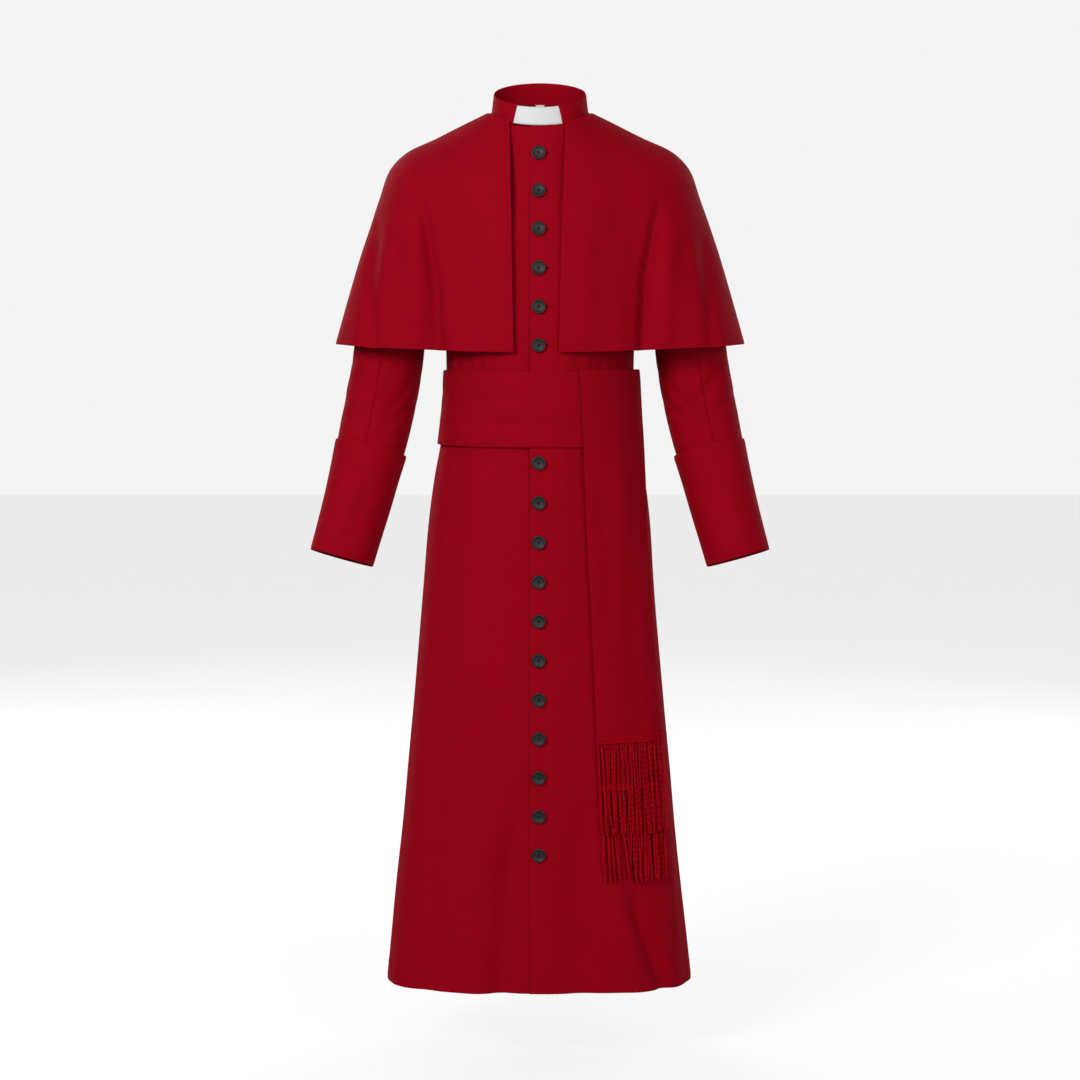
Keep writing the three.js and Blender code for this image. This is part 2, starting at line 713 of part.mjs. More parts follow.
const capeLeft = capePanel((up, half) => {
  const edge = turnOfX(lerp(CAPE_EDGE.left, CAPE_EDGE.leftNeck, up), half);
  return evenly(edge, CAPE_SHOULDER_TURN, CAPE_COLUMNS.front);
});
const capeBack = capePanel(() => evenly(CAPE_SHOULDER_TURN, 360 - CAPE_SHOULDER_TURN, CAPE_COLUMNS.back));
const capeRight = capePanel((up, half) => {
  const edge = 360 - turnOfX(lerp(CAPE_EDGE.right, CAPE_EDGE.rightNeck, up), half);
  return evenly(360 - CAPE_SHOULDER_TURN, edge, CAPE_COLUMNS.front);
});
shareNormals([capeLeft, capeBack, capeRight]);
addPiece("cape_front_left", clothWall(drawInSides(capeLeft, false, true)), cloth());
addPiece("cape_back", clothWall(drawInSides(capeBack)), cloth());
addPiece("cape_front_right", clothWall(drawInSides(capeRight, true, false)), cloth());

// ---------------------------------------------------------------- sash, falls and fringe

// The turns round the waist at which the body's panels have their columns.
function waistTurns(z) {
  const half = sectionAt(BODY, z).half;
  const fronts = FRONT_EDGES.map((x) => turnOfX(x, half));
  const panel = FRONT_COLUMNS.map((column) => column.turn);
  const sides = evenly(SIDE_TURN, BACK_TURN, SIDE_COLUMNS - 1).slice(1);
  const backs = BACK_COLUMNS.slice(1).map(
    (column) => 180 - turnOfX(column.share * half * Math.sin(radians(BACK_TURN)), half),
  );
  const leftHalf = [...panel, ...sides, ...backs];
  const rightHalf = leftHalf.slice(0, -1).reverse().map((turn) => 360 - turn);
  return [...fronts, ...leftHalf, ...rightHalf];
}

// The band winds once round the waist and laps over its own start at the back.
function sashBand() {
  const points = [SASH.bottom, SASH.middle, SASH.top].map((z) => {
    const once = waistTurns(z);
    const turns = [...once.map((turn) => turn - 360), ...once];
    return turns
      .filter((turn) => turn >= SASH_LAP.start && turn <= SASH_LAP.end)
      .map((turn) => ({ turn, z }));
  });
  const base = points.map((row) => row.map(({ turn, z }) => bodyPoint(turn, z)));
  return withNormals(base).map((row, i) =>
    row.map((knot, j) => {
      const { turn } = points[i][j];
      const lap = THREE.MathUtils.smoothstep(turn, SASH_LAP.from, SASH_LAP.full);
      const lift = SASH.lift + SASH.lapLift * lap;
      return { point: knot.point.addScaledVector(knot.normal, lift), normal: knot.normal };
    }),
  );
}

// A strip that hangs on the skirt along the fall's line, moved out from the skirt's own points.
function hangingStrip(heights, columns, lift) {
  const points = heights.map((z) => {
    const down = (FALL.top - z) / (FALL.top - FALL_FRONT.bottom);
    const centre = lerp(FALL.centreTop, FALL.centreBottom, down);
    const width = lerp(FALL.widthTop, FALL.widthBottom, Math.min(1, down));
    const half = sectionAt(BODY, z).half;
    const edges = [-0.5, 0.5].map((share) => turnOfX(centre + share * width, half));
    return evenly(...edges, columns).map((turn) => bodyPoint(turn, z));
  });
  return withNormals(points).map((row, i) =>
    row.map((knot) => ({
      point: knot.point.addScaledVector(knot.normal, lift(heights[i])),
      normal: knot.normal,
    })),
  );
}

function fall({ bottom, onSash, onSkirt }) {
  const between = BODY_HEIGHTS.filter((z) => z > bottom + FALL.shortest && z < FALL.top - 2 * CLOTH);
  const lift = (z) => lerp(onSkirt, onSash, THREE.MathUtils.smoothstep(z, FALL_EASE_Z, SASH.bottom));
  return clothWall(hangingStrip([bottom, ...between, FALL.top], FALL.columns, lift));
}

function fringe(top, { bottom, lift, thickness }) {
  const heights = evenly(bottom, top - SEAM_GAP, 3);
  return clothWall(hangingStrip(heights, FALL.columns, () => lift), { thickness });
}

addPiece("sash_band", clothWall(sashBand()), cloth());
addPiece("sash_fall_front", fall(FALL_FRONT), cloth());
addPiece("sash_fall_rear", fall(FALL_REAR), cloth());
addPiece("fringe_front", fringe(FALL_FRONT.bottom, FRINGE_FRONT), cloth());
addPiece("fringe_rear", fringe(FALL_REAR.bottom, FRINGE_REAR), cloth());

// ---------------------------------------------------------------- buttons

// Half of a button's section, from the centre of its flat back to the centre of its slightly sunk dome.
function buttonGeometry() {
  const { radius, rim, height } = BUTTON;
  const profile = [
    [0, 0],
    [radius - 2, 0],
    [radius, 1.6],
    [radius, height - rim],
    [radius - 0.8, height],
    [radius - 2, height],
    [radius - 3, height - 0.8],
    [0, height - 0.2],
  ].map(([x, y]) => new THREE.Vector2(x, y));
  return new THREE.LatheGeometry(profile, 14);
}

// The knot of the left front's outer face at a height on the button line.
function buttonKnot(z) {
  const columns = [0, 1].map((j) => {
    const column = leftFront.map((row) => row[j]);
    const i = column.findIndex((knot) => knot.point.z > z);
    const share = (z - column[i - 1].point.z) / (column[i].point.z - column[i - 1].point.z);
    return {
      point: column[i - 1].point.clone().lerp(column[i].point, share),
      normal: column[i - 1].normal.clone().lerp(column[i].normal, share),
    };
  });
  const across = (BUTTON.x - columns[0].point.x) / (columns[1].point.x - columns[0].point.x);
  const point = columns[0].point.lerp(columns[1].point, across);
  const normal = columns[0].normal.lerp(columns[1].normal, across).normalize();
  return { point: point.addScaledVector(normal, LAP_LIFT + 3 * SEAM_GAP), normal };
}

const buttonHeights = [BUTTONS_UPPER, BUTTONS_LOWER].flatMap(({ count, first, pitch }) =>
  Array.from({ length: count }, (_, k) => first - k * pitch),
);
buttonHeights.forEach((z, k) => {
  const { point, normal } = buttonKnot(z);
  const button = addPiece("button_" + String(k + 1).padStart(2, "0"), buttonGeometry(), horn());
  button.position.copy(point);
  button.quaternion.setFromUnitVectors(new THREE.Vector3(0, 1, 0), normal);
});

export default group;
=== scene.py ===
"""A red cassock with a shoulder cape and a fringed sash, filled out as it hangs when it is worn.

Each cloth piece is a thin shell on the form of its own solid in the frame: the same short tables of sections
give a coarse grid, a smooth curve refines it, and listed creases finish it. Sizes are in millimetres
until a mesh is made, x runs to the wearer's left, the front faces -y and z runs up from the collar seam.
"""

import logging
import math
from collections.abc import Callable, Iterable, Sequence
from dataclasses import dataclass, field
from enum import Enum

import bpy
import numpy as np
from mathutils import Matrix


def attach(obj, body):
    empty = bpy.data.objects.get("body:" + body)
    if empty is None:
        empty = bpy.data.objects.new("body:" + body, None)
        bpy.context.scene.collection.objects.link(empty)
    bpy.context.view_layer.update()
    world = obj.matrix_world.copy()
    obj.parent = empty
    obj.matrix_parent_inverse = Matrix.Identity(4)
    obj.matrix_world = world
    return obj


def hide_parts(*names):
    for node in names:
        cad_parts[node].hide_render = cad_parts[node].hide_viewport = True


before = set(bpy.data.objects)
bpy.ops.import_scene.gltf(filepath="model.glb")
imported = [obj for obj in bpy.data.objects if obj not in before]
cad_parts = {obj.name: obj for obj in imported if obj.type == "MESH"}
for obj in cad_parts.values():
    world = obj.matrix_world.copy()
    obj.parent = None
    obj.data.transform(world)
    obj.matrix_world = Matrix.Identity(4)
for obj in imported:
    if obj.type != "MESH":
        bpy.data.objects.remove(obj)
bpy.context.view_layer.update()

LOG = logging.getLogger("cassock")
MM = 0.001
BODY = "root"
SEED = 7
EDGE_ROWS = (1.2, 3.2)  # extra rows of the mesh this far inside every edge
PRESS_WIDTH = 2.4  # how far from an edge the cloth begins to turn in
LEAST_SHARE = 0.301  # the least share of its rectangle that a cut is declared with
STITCH_SHARE, STITCH_RADIUS = 0.72, 0.3  # a stitch's length as a share of the pitch, and its radius


class Side(Enum):
    """A half of the garment, by the sign of its x."""

    LEFT = 1
    RIGHT = -1


class Edge(Enum):
    """An edge of a grid."""

    BOTTOM = "bottom"
    TOP = "top"
    FIRST = "first"
    LAST = "last"


class Face(Enum):
    """Which way the cloth under a crease looks."""

    FRONT = "front"
    BACK = "back"
    ANY = "any"


# ------------------------------------------------------------------ sizes shared with the solids

CLOTH = 1.3
NECK_HALF, NECK_DEEP, NECK_RISE = 77.0, 62.0, 22.0
COLLAR_HEIGHT, COLLAR_TAPER = 32.5, 4.0
LAP_X, UNDERLAP_X, LAP_LIFT, LAP_END_X = -16.0, 30.0, 2.4, 60.0
NECK_POINT_TURN = 96.0
SHOULDER_TIP = (205.0, 46.0, -68.0)
ARMHOLE_SCOOP = 14.0
SHOULDER_FULLNESS = 0.5
SHOULDER_SLOPE = 1.6  # above 1, the chest stays upright before it turns in to the shoulder
YOKE_ROWS = 6
SIDE_TURN, BACK_TURN = 72.0, 106.0
CAPE_SHOULDER_TURN = 84.0
UNDERLAY_TOP = -740.0


def table(names: str, rows: Sequence[Sequence[float]]) -> list[dict[str, float]]:
    """Name the columns of a short table of sizes.

    Args:
        names: The column names, with spaces between them.
        rows: The numbers, a row for each section.

    Returns:
        One dictionary for each row.
    """
    return [dict(zip(names.split(), row)) for row in rows]


# half is the greatest half width; front, side and back are the y of the centre front, of the widest point and
# of the centre back; square is 2 for an ellipse and more for a rounder-cornered box.
BODY_SECTIONS = table(
    "z half front side back square",
    [
        (-235, 172, -111, 8, 136, 2.3),
        (-300, 158, -117, 8, 139, 2.3),
        (-362, 150, -119, 9, 140, 2.2),
        (-402, 149, -119, 10, 140, 2.1),
        (-460, 152, -118, 10, 140, 2.1),
        (-490, 155.5, -117.5, 10, 141, 2.1),
        (-519, 159, -117, 10, 142, 2.1),
        (-570, 168, -117, 10, 146, 2.2),
        (-640, 177, -116, 10, 150, 2.2),
        (-740, 186, -115, 11, 157, 2.3),
        (-850, 195, -114, 12, 166, 2.4),
        (-970, 206, -113, 13, 175, 2.5),
        (-1100, 218, -111, 14, 185, 2.6),
        (-1240, 233, -109, 15, 196, 2.7),
        (-1382, 247, -107, 16, 205, 2.8),
    ],
)

# fold is the x of the back panel's edge, tuck the x of the hidden inner fold, under the back depth of the
# side panel's section, and half and mid shape the back panel's own section.
PLEAT_SECTIONS = table(
    "z fold tuck under half mid",
    [
        (-489, 149.5, 149.5, 126, 156, 10),
        (-519, 148, 137, 118, 159, 10),
        (-570, 145, 128, 114, 164, 14),
        (-640, 141, 122, 114, 166, 24),
        (-740, 138, 116, 116, 169, 38),
        (-850, 139, 112, 118, 174, 56),
        (-970, 145, 112, 120, 181, 76),
        (-1100, 153, 114, 121, 188, 96),
        (-1240, 159, 117, 121, 196, 116),
        (-1382, 164, 120, 120, 203, 134),
    ],
)

CAPE_SECTIONS = table(
    "half front side back z_front z_side z_back",
    [
        (326, -127, 18, 166, -372, -360, -364),
        (304, -125, 26, 157, -308, -282, -288),
        (280, -121, 34, 148, -245, -200, -210),
        (256, -114.5, 43, 140, -192, -130, -145),
        (238, -106, 50, 131, -153, -82, -98),
        (214, -96, 56, 120, -120, -57, -60),
        (165, -83, 56, 104, -84, -33, -25),
        (115, -72, 36, 86, -48, -10, 5),
        (83, -68, 2, 68, -20, 3, 24),
    ],
)
CAPE_EDGE = {Side.LEFT: (29.0, 40.0), Side.RIGHT: (41.0, 48.0)}

# Soft flutes of the cape: how far the cloth sinks at the hem, and below zero how far it swells.
CAPE_FLUTES = table(
    "turn spread sink",
    [
        (33, 9, 20),
        (57, 10, -8),
        (122, 9, -18),
        (138, 8, 20),
        (172, 7, -6),
        (188, 6, 8),
        (222, 8, 20),
        (238, 9, -18),
        (303, 10, -8),
        (327, 9, 20),
    ],
)
FLUTE_START, FLUTE_GROWTH = 0.25, 1.3

SLEEVE_RINGS = table(
    "x y z across deep",
    [
        (313, -21, -690, 47, 46),
        (301, -15, -648, 48, 47),
        (288, -6, -600, 50, 49),
        (276, 4, -550, 53, 51),
        (266, 12, -508, 55.5, 53),
        (256, 20, -460, 57, 54),
        (246, 24, -405, 57, 55),
        (237, 26, -340, 55, 57),
        (229, 26, -272, 49, 59),
    ],
)
SLEEVE_CAP_SHARE, SLEEVE_CAP_SWELL, SLEEVE_CAP_CLEAR = 0.5, 12.0, 17.0
CUFF_RINGS = table(
    "x y z across deep",
    [
        (315, -22.5, -699, 51.5, 50.5),
        (303, -16, -656, 52.5, 51.5),
        (291, -8, -612, 54, 53),
        (279, 1, -564, 56, 55),
        (269.5, 9, -526, 58.5, 57),
    ],
)
RING_START = -0.9

# The columns of a front: at a turn, ending on the collar seam at a turn (neck), at a share of the shoulder
# seam (shoulder), or at the armpit (neither).
FRONT_COLUMNS = [
    (18.0, "neck", 45.0),
    (27.0, "neck", NECK_POINT_TURN),
    (36.0, "shoulder", 0.28),
    (46.0, "shoulder", 0.62),
    (57.0, "shoulder", 1.0),
    (65.0, "armpit", 0.0),
    (72.0, "armpit", 0.0),
]
BACK_COLUMNS = [
    (1.0, "armpit", 0.0),
    (0.95, "armpit", 0.0),
    (0.87, "shoulder", 1.0),
    (0.71, "shoulder", 0.62),
    (0.55, "shoulder", 0.28),
    (0.43, "neck", NECK_POINT_TURN),
    (0.22, "neck", 142.0),
    (0.0, "neck", 180.0),
]


# ------------------------------------------------------------------ section geometry


def section_at(rows: Sequence[dict[str, float]], z: float) -> dict[str, float]:
    """Read a table of sections at a height.

    Args:
        rows: Sections from the highest to the lowest.
        z: The height.

    Returns:
        The section's sizes, in proportion between its two nearest rows.
    """
    heights = [-row["z"] for row in rows]
    return {key: float(np.interp(-z, heights, [row[key] for row in rows])) for key in rows[0]}


def turn_of(x: float, half: float) -> float:
    """Return the turn in degrees at which a section of that half width has the given x."""
    return math.degrees(math.asin(max(-1.0, min(1.0, x / half))))


def on_section(section: dict[str, float], turn: float, square: float, z: float) -> np.ndarray:
    """Place a point on a section.

    Args:
        section: half, side, front and back of the section.
        turn: Degrees round the wearer, from the centre front towards the left.
        square: How box-like the section is.
        z: The point's height.

    Returns:
        The point.
    """
    sine, cosine = math.sin(math.radians(turn)), math.cos(math.radians(turn))
    reach = max(0.0, 1 - abs(sine) ** square) ** (1 / square)
    end = section["front"] if cosine >= 0 else section["back"]
    return np.array([section["half"] * sine, section["side"] + (end - section["side"]) * reach, z])


def body_point(turn: float, z: float) -> np.ndarray:
    """Return a point of the body's base surface, without pleats or lap."""
    section = section_at(BODY_SECTIONS, z)
    return on_section(section, turn, section["square"], z)


def body_point_at_x(x: float, z: float) -> np.ndarray:
    """Return the point of the body's front at an x and a height."""
    return body_point(turn_of(x, section_at(BODY_SECTIONS, z)["half"]), z)


def neck_point(turn: float) -> np.ndarray:
    """Return a point of the collar seam."""
    angle = math.radians(turn)
    return np.array(
        [NECK_HALF * math.sin(angle), -NECK_DEEP * math.cos(angle), -NECK_RISE * math.cos(angle)]
    )


@dataclass
class Grid:
    """A grid of points over a piece of cloth, its rows running up and its columns towards greater turns."""

    points: np.ndarray
    cells: np.ndarray | None = None
    closed: bool = False
    places: np.ndarray | None = None

    def __post_init__(self) -> None:
        """Fill in a whole mask of cells, and the coarse columns' places, where none are given."""
        if self.cells is None:
            self.cells = np.ones((self.points.shape[0] - 1, self.points.shape[1] - 1), bool)
        if self.places is None:
            self.places = np.arange(self.points.shape[1])

    def normals(self) -> np.ndarray:
        """Return the outward unit normal at each point."""
        points = self.points
        if self.closed:
            around = np.concatenate([points[:, -2:-1], points, points[:, 1:2]], axis=1)
            along = around[:, 2:] - around[:, :-2]
        else:
            along = np.gradient(points, axis=1)
        up = np.gradient(points, axis=0)
        normal = np.cross(along, up)
        return normal / np.maximum(np.linalg.norm(normal, axis=2, keepdims=True), 1e-9)

    def moved(self, distance: np.ndarray | float) -> "Grid":
        """Return the grid moved out along its normals."""
        shift = np.asarray(distance, float)
        if shift.ndim == 2:
            shift = shift[..., None]
        return Grid(self.points + self.normals() * shift, self.cells, self.closed, self.places)

    def mirrored(self) -> "Grid":
        """Return the other side's grid, still running towards greater turns."""
        points = self.points[:, ::-1].copy()
        points[..., 0] *= -1
        return Grid(points, self.cells[:, ::-1], self.closed, points.shape[1] - 1 - self.places)

    def refined(self, spacing: float) -> "Grid":
        """Return a finer grid on smooth curves through this one's points.

        Args:
            spacing: The greatest distance between neighbours.
        """
        points, rows = _refine(self.points, spacing, False)
        points, cols = _refine(points.swapaxes(0, 1), spacing, self.closed)
        cells = np.repeat(np.repeat(self.cells, rows, axis=0), cols, axis=1)
        places = np.concatenate([[0], np.cumsum(cols)])
        return Grid(points.swapaxes(0, 1), cells, self.closed, places)

    def between(self, first: int, last: int) -> "Grid":
        """Return the open part of a closed grid from one coarse column round to another."""
        start, stop = self.places[first], self.places[last]
        if stop > start:
            return Grid(self.points[:, start : stop + 1])
        return Grid(np.concatenate([self.points[:, start:-1], self.points[:, : stop + 1]], axis=1))

    def run_from(self, edge: "Edge") -> tuple[np.ndarray, np.ndarray, np.ndarray]:
        """Turn the grid so that an edge comes first.

        Args:
            edge: The edge.

        Returns:
            The points and normals, and how far each lies from the edge along the cloth.
        """
        points, normals = self.points, self.normals()
        if edge in (Edge.FIRST, Edge.LAST):
            points, normals = points.swapaxes(0, 1), normals.swapaxes(0, 1)
        if edge in (Edge.TOP, Edge.LAST):
            points, normals = points[::-1], normals[::-1]
        steps = np.linalg.norm(np.diff(points, axis=0), axis=2)
        run = np.concatenate([np.zeros((1, points.shape[1])), np.cumsum(steps, axis=0)])
        return points, normals, run

    def line_along(self, edge: "Edge", inset: float, lift: float = 0.15) -> np.ndarray:
        """Return a line on the cloth at a distance from an edge, a little above its surface."""
        points, normals, run = self.run_from(edge)
        raised = points + normals * lift
        return np.array(
            [[np.interp(inset, run[:, j], raised[:, j, k]) for k in range(3)] for j in range(run.shape[1])]
        )

    def pressed(self, depth: float, width: float) -> "Grid":
        """Return the grid with its edges turned in a little, as a seam or a pressed edge pulls them."""
        sink = np.zeros(self.points.shape[:2])
        for edge in (Edge.BOTTOM, Edge.TOP) if self.closed else Edge:
            bell = np.exp(-((self.run_from(edge)[2] / width) ** 2))
            if edge in (Edge.TOP, Edge.LAST):
                bell = bell[::-1]
            if edge in (Edge.FIRST, Edge.LAST):
                bell = bell.T
            sink = np.maximum(sink, bell)
        return self.moved(-depth * sink)


def _refine(points: np.ndarray, spacing: float, closed: bool) -> tuple[np.ndarray, np.ndarray]:
    """Add points along the first axis on cubic curves through the given ones.

    Args:
        points: The grid's points.
        spacing: The greatest distance wanted between neighbours.
        closed: Whether the first and last points are one and the same.

    Returns:
        The new points, and how many steps each old one was cut into.
    """
    steps = np.linalg.norm(np.diff(points, axis=0), axis=2).mean(axis=1)
    steps = np.maximum(steps, 1e-6)
    slopes = np.diff(points, axis=0) / steps[:, None, None]
    middle = (slopes[1:] * steps[:-1, None, None] + slopes[:-1] * steps[1:, None, None]) / (
        steps[1:] + steps[:-1]
    )[:, None, None]
    if closed:
        joint = (slopes[0] * steps[-1] + slopes[-1] * steps[0]) / (steps[0] + steps[-1])
        tangents = np.concatenate([joint[None], middle, joint[None]])
    else:
        tangents = np.concatenate([slopes[:1], middle, slopes[-1:]])
    cuts = np.maximum(1, np.ceil(steps / spacing)).astype(int)
    made = []
    for i, cut in enumerate(cuts):
        shares = np.arange(cut) / cut
        near = np.array(EDGE_ROWS) / steps[i]
        if i == 0 and not closed and near[-1] < 1 / cut:
            shares = np.sort(np.concatenate([shares, near]))
        if i == len(cuts) - 1 and not closed and near[-1] < 1 / cut:
            shares = np.concatenate([shares, 1 - near[::-1]])
        cuts[i] = len(shares)
        t = shares[:, None, None]
        made.append(
            (2 * t**3 - 3 * t**2 + 1) * points[i]
            + (t**3 - 2 * t**2 + t) * steps[i] * tangents[i]
            + (3 * t**2 - 2 * t**3) * points[i + 1]
            + (t**3 - t**2) * steps[i] * tangents[i + 1]
        )
    made.append(points[-1:])
    return np.concatenate(made), cuts


# ------------------------------------------------------------------ creases


@dataclass(frozen=True)
class Crease:
    """A soft trough, or a ridge where its depth is below zero, along a line of (x, z) points."""

    face: Face
    line: tuple[tuple[float, float], ...]
    width: float
    depth: float
    run_off_start: bool = False
    run_off_end: bool = False

    def depth_at(self, points: np.ndarray, normals: np.ndarray) -> np.ndarray:
        """Return how far the cloth sinks at each point."""
        best = np.full(points.shape[:2], np.inf)
        along = np.zeros(points.shape[:2])
        lengths = [math.dist(a, b) for a, b in zip(self.line, self.line[1:])]
        start = 0.0
        for (ax, az), (bx, bz), length in zip(self.line, self.line[1:], lengths):
            dx, dz = bx - ax, bz - az
            t = ((points[..., 0] - ax) * dx + (points[..., 2] - az) * dz) / (length * length)
            clipped = np.clip(t, 0, 1)
            gap = np.hypot(points[..., 0] - ax - clipped * dx, points[..., 2] - az - clipped * dz)
            nearer = gap < best
            best = np.where(nearer, gap, best)
            along = np.where(nearer, start + clipped * length, along)
            start += length
        share = along / sum(lengths)
        fade = np.ones_like(share)
        if not self.run_off_start:
            fade *= np.clip(share / 0.3, 0, 1)
        if not self.run_off_end:
            fade *= np.clip((1 - share) / 0.3, 0, 1)
        fade = fade * fade * (3 - 2 * fade)
        if self.face is Face.FRONT:
            fade = fade * np.clip(0.5 - 2 * normals[..., 1], 0, 1)
        elif self.face is Face.BACK:
            fade = fade * np.clip(0.5 + 2 * normals[..., 1], 0, 1)
        return self.depth * fade * np.exp(-((best / self.width) ** 2))


def creased(grid: Grid, creases: Iterable[Crease], settle: float = 0.0) -> Grid:
    """Press creases into a grid.

    Args:
        grid: A fine grid.
        creases: The creases that cross it.
        settle: The height of the slow, uneven waves that no cloth is free of.

    Returns:
        The creased grid.
    """
    normals = grid.normals()
    sink = np.zeros(grid.points.shape[:2])
    for crease in creases:
        sink += crease.depth_at(grid.points, normals)
    x, y, z = (grid.points[..., k] for k in range(3))
    waves = np.sin(x / 31 + z / 83 + 0.7) * np.sin(z / 59 - y / 43 + 1.9) + 0.6 * np.sin(
        x / 17 - z / 141 + y / 29
    )
    return grid.moved(-sink + settle * waves)


def both_sides(creases: Iterable[Crease]) -> list[Crease]:
    """Return creases with their mirror images, a little shallower as no two sides are alike."""
    made = []
    for crease in creases:
        made.append(crease)
        line = tuple((-x * 1.02, z - 6) for x, z in crease.line)
        made.append(
            Crease(
                crease.face, line, crease.width * 1.1, crease.depth * 0.85,
                crease.run_off_start, crease.run_off_end,
            )
        )
    return made


# ------------------------------------------------------------------ finishes


def linear(red: float, green: float, blue: float) -> tuple[float, float, float, float]:
    """Return a colour of 0 to 255 display values as a linear colour."""

    def one(value: float) -> float:
        """Return one channel."""
        share = value / 255
        return share / 12.92 if share <= 0.04045 else ((share + 0.055) / 1.055) ** 2.4

    return one(red), one(green), one(blue), 1.0


class Nodes:
    """A short way to add and join nodes in one tree."""

    def __init__(self, tree: bpy.types.NodeTree) -> None:
        """Keep the tree."""
        self.tree = tree

    def add(self, kind: str, inputs: dict | None = None, **settings: object) -> bpy.types.Node:
        """Add a node.

        Args:
            kind: Its type name.
            inputs: A value, or the socket that feeds it, for each input by name or index.
            settings: Its properties.

        Returns:
            The node.
        """
        node = self.tree.nodes.new(kind)
        for name, value in settings.items():
            setattr(node, name, value)
        for key, value in (inputs or {}).items():
            if isinstance(value, bpy.types.NodeSocket):
                self.tree.links.new(value, node.inputs[key])
            else:
                node.inputs[key].default_value = value
        return node

    def math(self, operation: str, *values: object) -> bpy.types.NodeSocket:
        """Add a Math node and return its result."""
        return self.add("ShaderNodeMath", dict(enumerate(values)), operation=operation).outputs[0]


def weave_group() -> bpy.types.NodeTree:
    """Return the shared twill weave: threads that cross on the slant, and the cloth's slow unevenness."""
    name = "Twill weave"
    if name in bpy.data.node_groups:
        return bpy.data.node_groups[name]
    tree = bpy.data.node_groups.new(name, "ShaderNodeTree")
    for socket, kind, value in (
        ("Cloth", "NodeSocketVector", None),
        ("Threads per metre", "NodeSocketFloat", 900.0),
        ("Unevenness", "NodeSocketFloat", 1.0),
    ):
        made = tree.interface.new_socket(socket, in_out="INPUT", socket_type=kind)
        if value is not None:
            made.default_value = value
    tree.interface.new_socket("Height", in_out="OUTPUT", socket_type="NodeSocketFloat")
    tree.interface.new_socket("Shade", in_out="OUTPUT", socket_type="NodeSocketFloat")
    nodes = Nodes(tree)
    given = nodes.add("NodeGroupInput").outputs
    split = nodes.add("ShaderNodeSeparateXYZ", {0: given["Cloth"]}).outputs
    turns = nodes.math("MULTIPLY", given["Threads per metre"], 2 * math.pi)
    slant = nodes.math("MULTIPLY", nodes.math("ADD", split[0], split[1]), turns)
    weft = nodes.math("MULTIPLY", nodes.math("SUBTRACT", split[0], split[1]), turns)
    rib = nodes.math("SINE", slant)
    fine = nodes.math("MULTIPLY", nodes.math("SINE", weft), 0.35)
    slub = nodes.add(
        "ShaderNodeTexNoise", {"Vector": given["Cloth"], "Scale": 420.0, "Detail": 3.0, "Roughness": 0.6}
    ).outputs[0]
    cloud = nodes.add(
        "ShaderNodeTexNoise", {"Vector": given["Cloth"], "Scale": 16.0, "Detail": 4.0, "Roughness": 0.55}
    ).outputs[0]
    threads = nodes.math("ADD", nodes.math("ADD", rib, fine), nodes.math("MULTIPLY", slub, 1.6))
    height = nodes.math("ADD", threads, nodes.math("MULTIPLY", cloud, given["Unevenness"]))
    shade = nodes.math("ADD", nodes.math("MULTIPLY", slub, 0.5), nodes.math("MULTIPLY", cloud, 0.5))
    nodes.add("NodeGroupOutput", {"Height": height, "Shade": shade})
    return tree


@dataclass(frozen=True)
class ClothFinish:
    """A woven cloth: its colour where light and where dark, and the strength of its weave."""

    name: str
    light: tuple[float, float, float, float]
    dark: tuple[float, float, float, float]
    roughness: float = 0.78
    sheen: float = 0.06
    sheen_tint: tuple[float, float, float, float] = (1.0, 0.1, 0.14, 1.0)
    weave: float = 0.22
    threads: float = 900.0

    def material(self) -> bpy.types.Material:
        """Return the finish as a material, made the first time it is asked for."""
        if self.name in bpy.data.materials:
            return bpy.data.materials[self.name]
        material = bpy.data.materials.new(self.name)
        material.use_nodes = True
        tree = material.node_tree
        nodes = Nodes(tree)
        shader = tree.nodes["Principled BSDF"]
        cloth = nodes.add("ShaderNodeUVMap", uv_map="cloth").outputs[0]
        weave = nodes.add("ShaderNodeGroup", {}, node_tree=weave_group())
        tree.links.new(cloth, weave.inputs["Cloth"])
        weave.inputs["Threads per metre"].default_value = self.threads
        ramp = nodes.add("ShaderNodeValToRGB", {0: weave.outputs["Shade"]})
        ramp.color_ramp.elements[0].position = 0.3
        ramp.color_ramp.elements[1].position = 0.7
        ramp.color_ramp.elements[0].color = self.dark
        ramp.color_ramp.elements[1].color = self.light
        bump = nodes.add(
            "ShaderNodeBump", {"Height": weave.outputs["Height"], "Strength": self.weave, "Distance": 0.0003}
        )
        rough = nodes.add(
            "ShaderNodeMapRange",
            {0: weave.outputs["Shade"], 3: self.roughness - 0.05, 4: self.roughness + 0.05},
        )
        tree.links.new(ramp.outputs[0], shader.inputs["Base Color"])
        tree.links.new(rough.outputs[0], shader.inputs["Roughness"])
        tree.links.new(bump.outputs[0], shader.inputs["Normal"])
        shader.inputs["Sheen Weight"].default_value = self.sheen
        shader.inputs["Sheen Roughness"].default_value = 0.45
        shader.inputs["Sheen Tint"].default_value = self.sheen_tint
        shader.inputs["Specular IOR Level"].default_value = 0.04
        return material


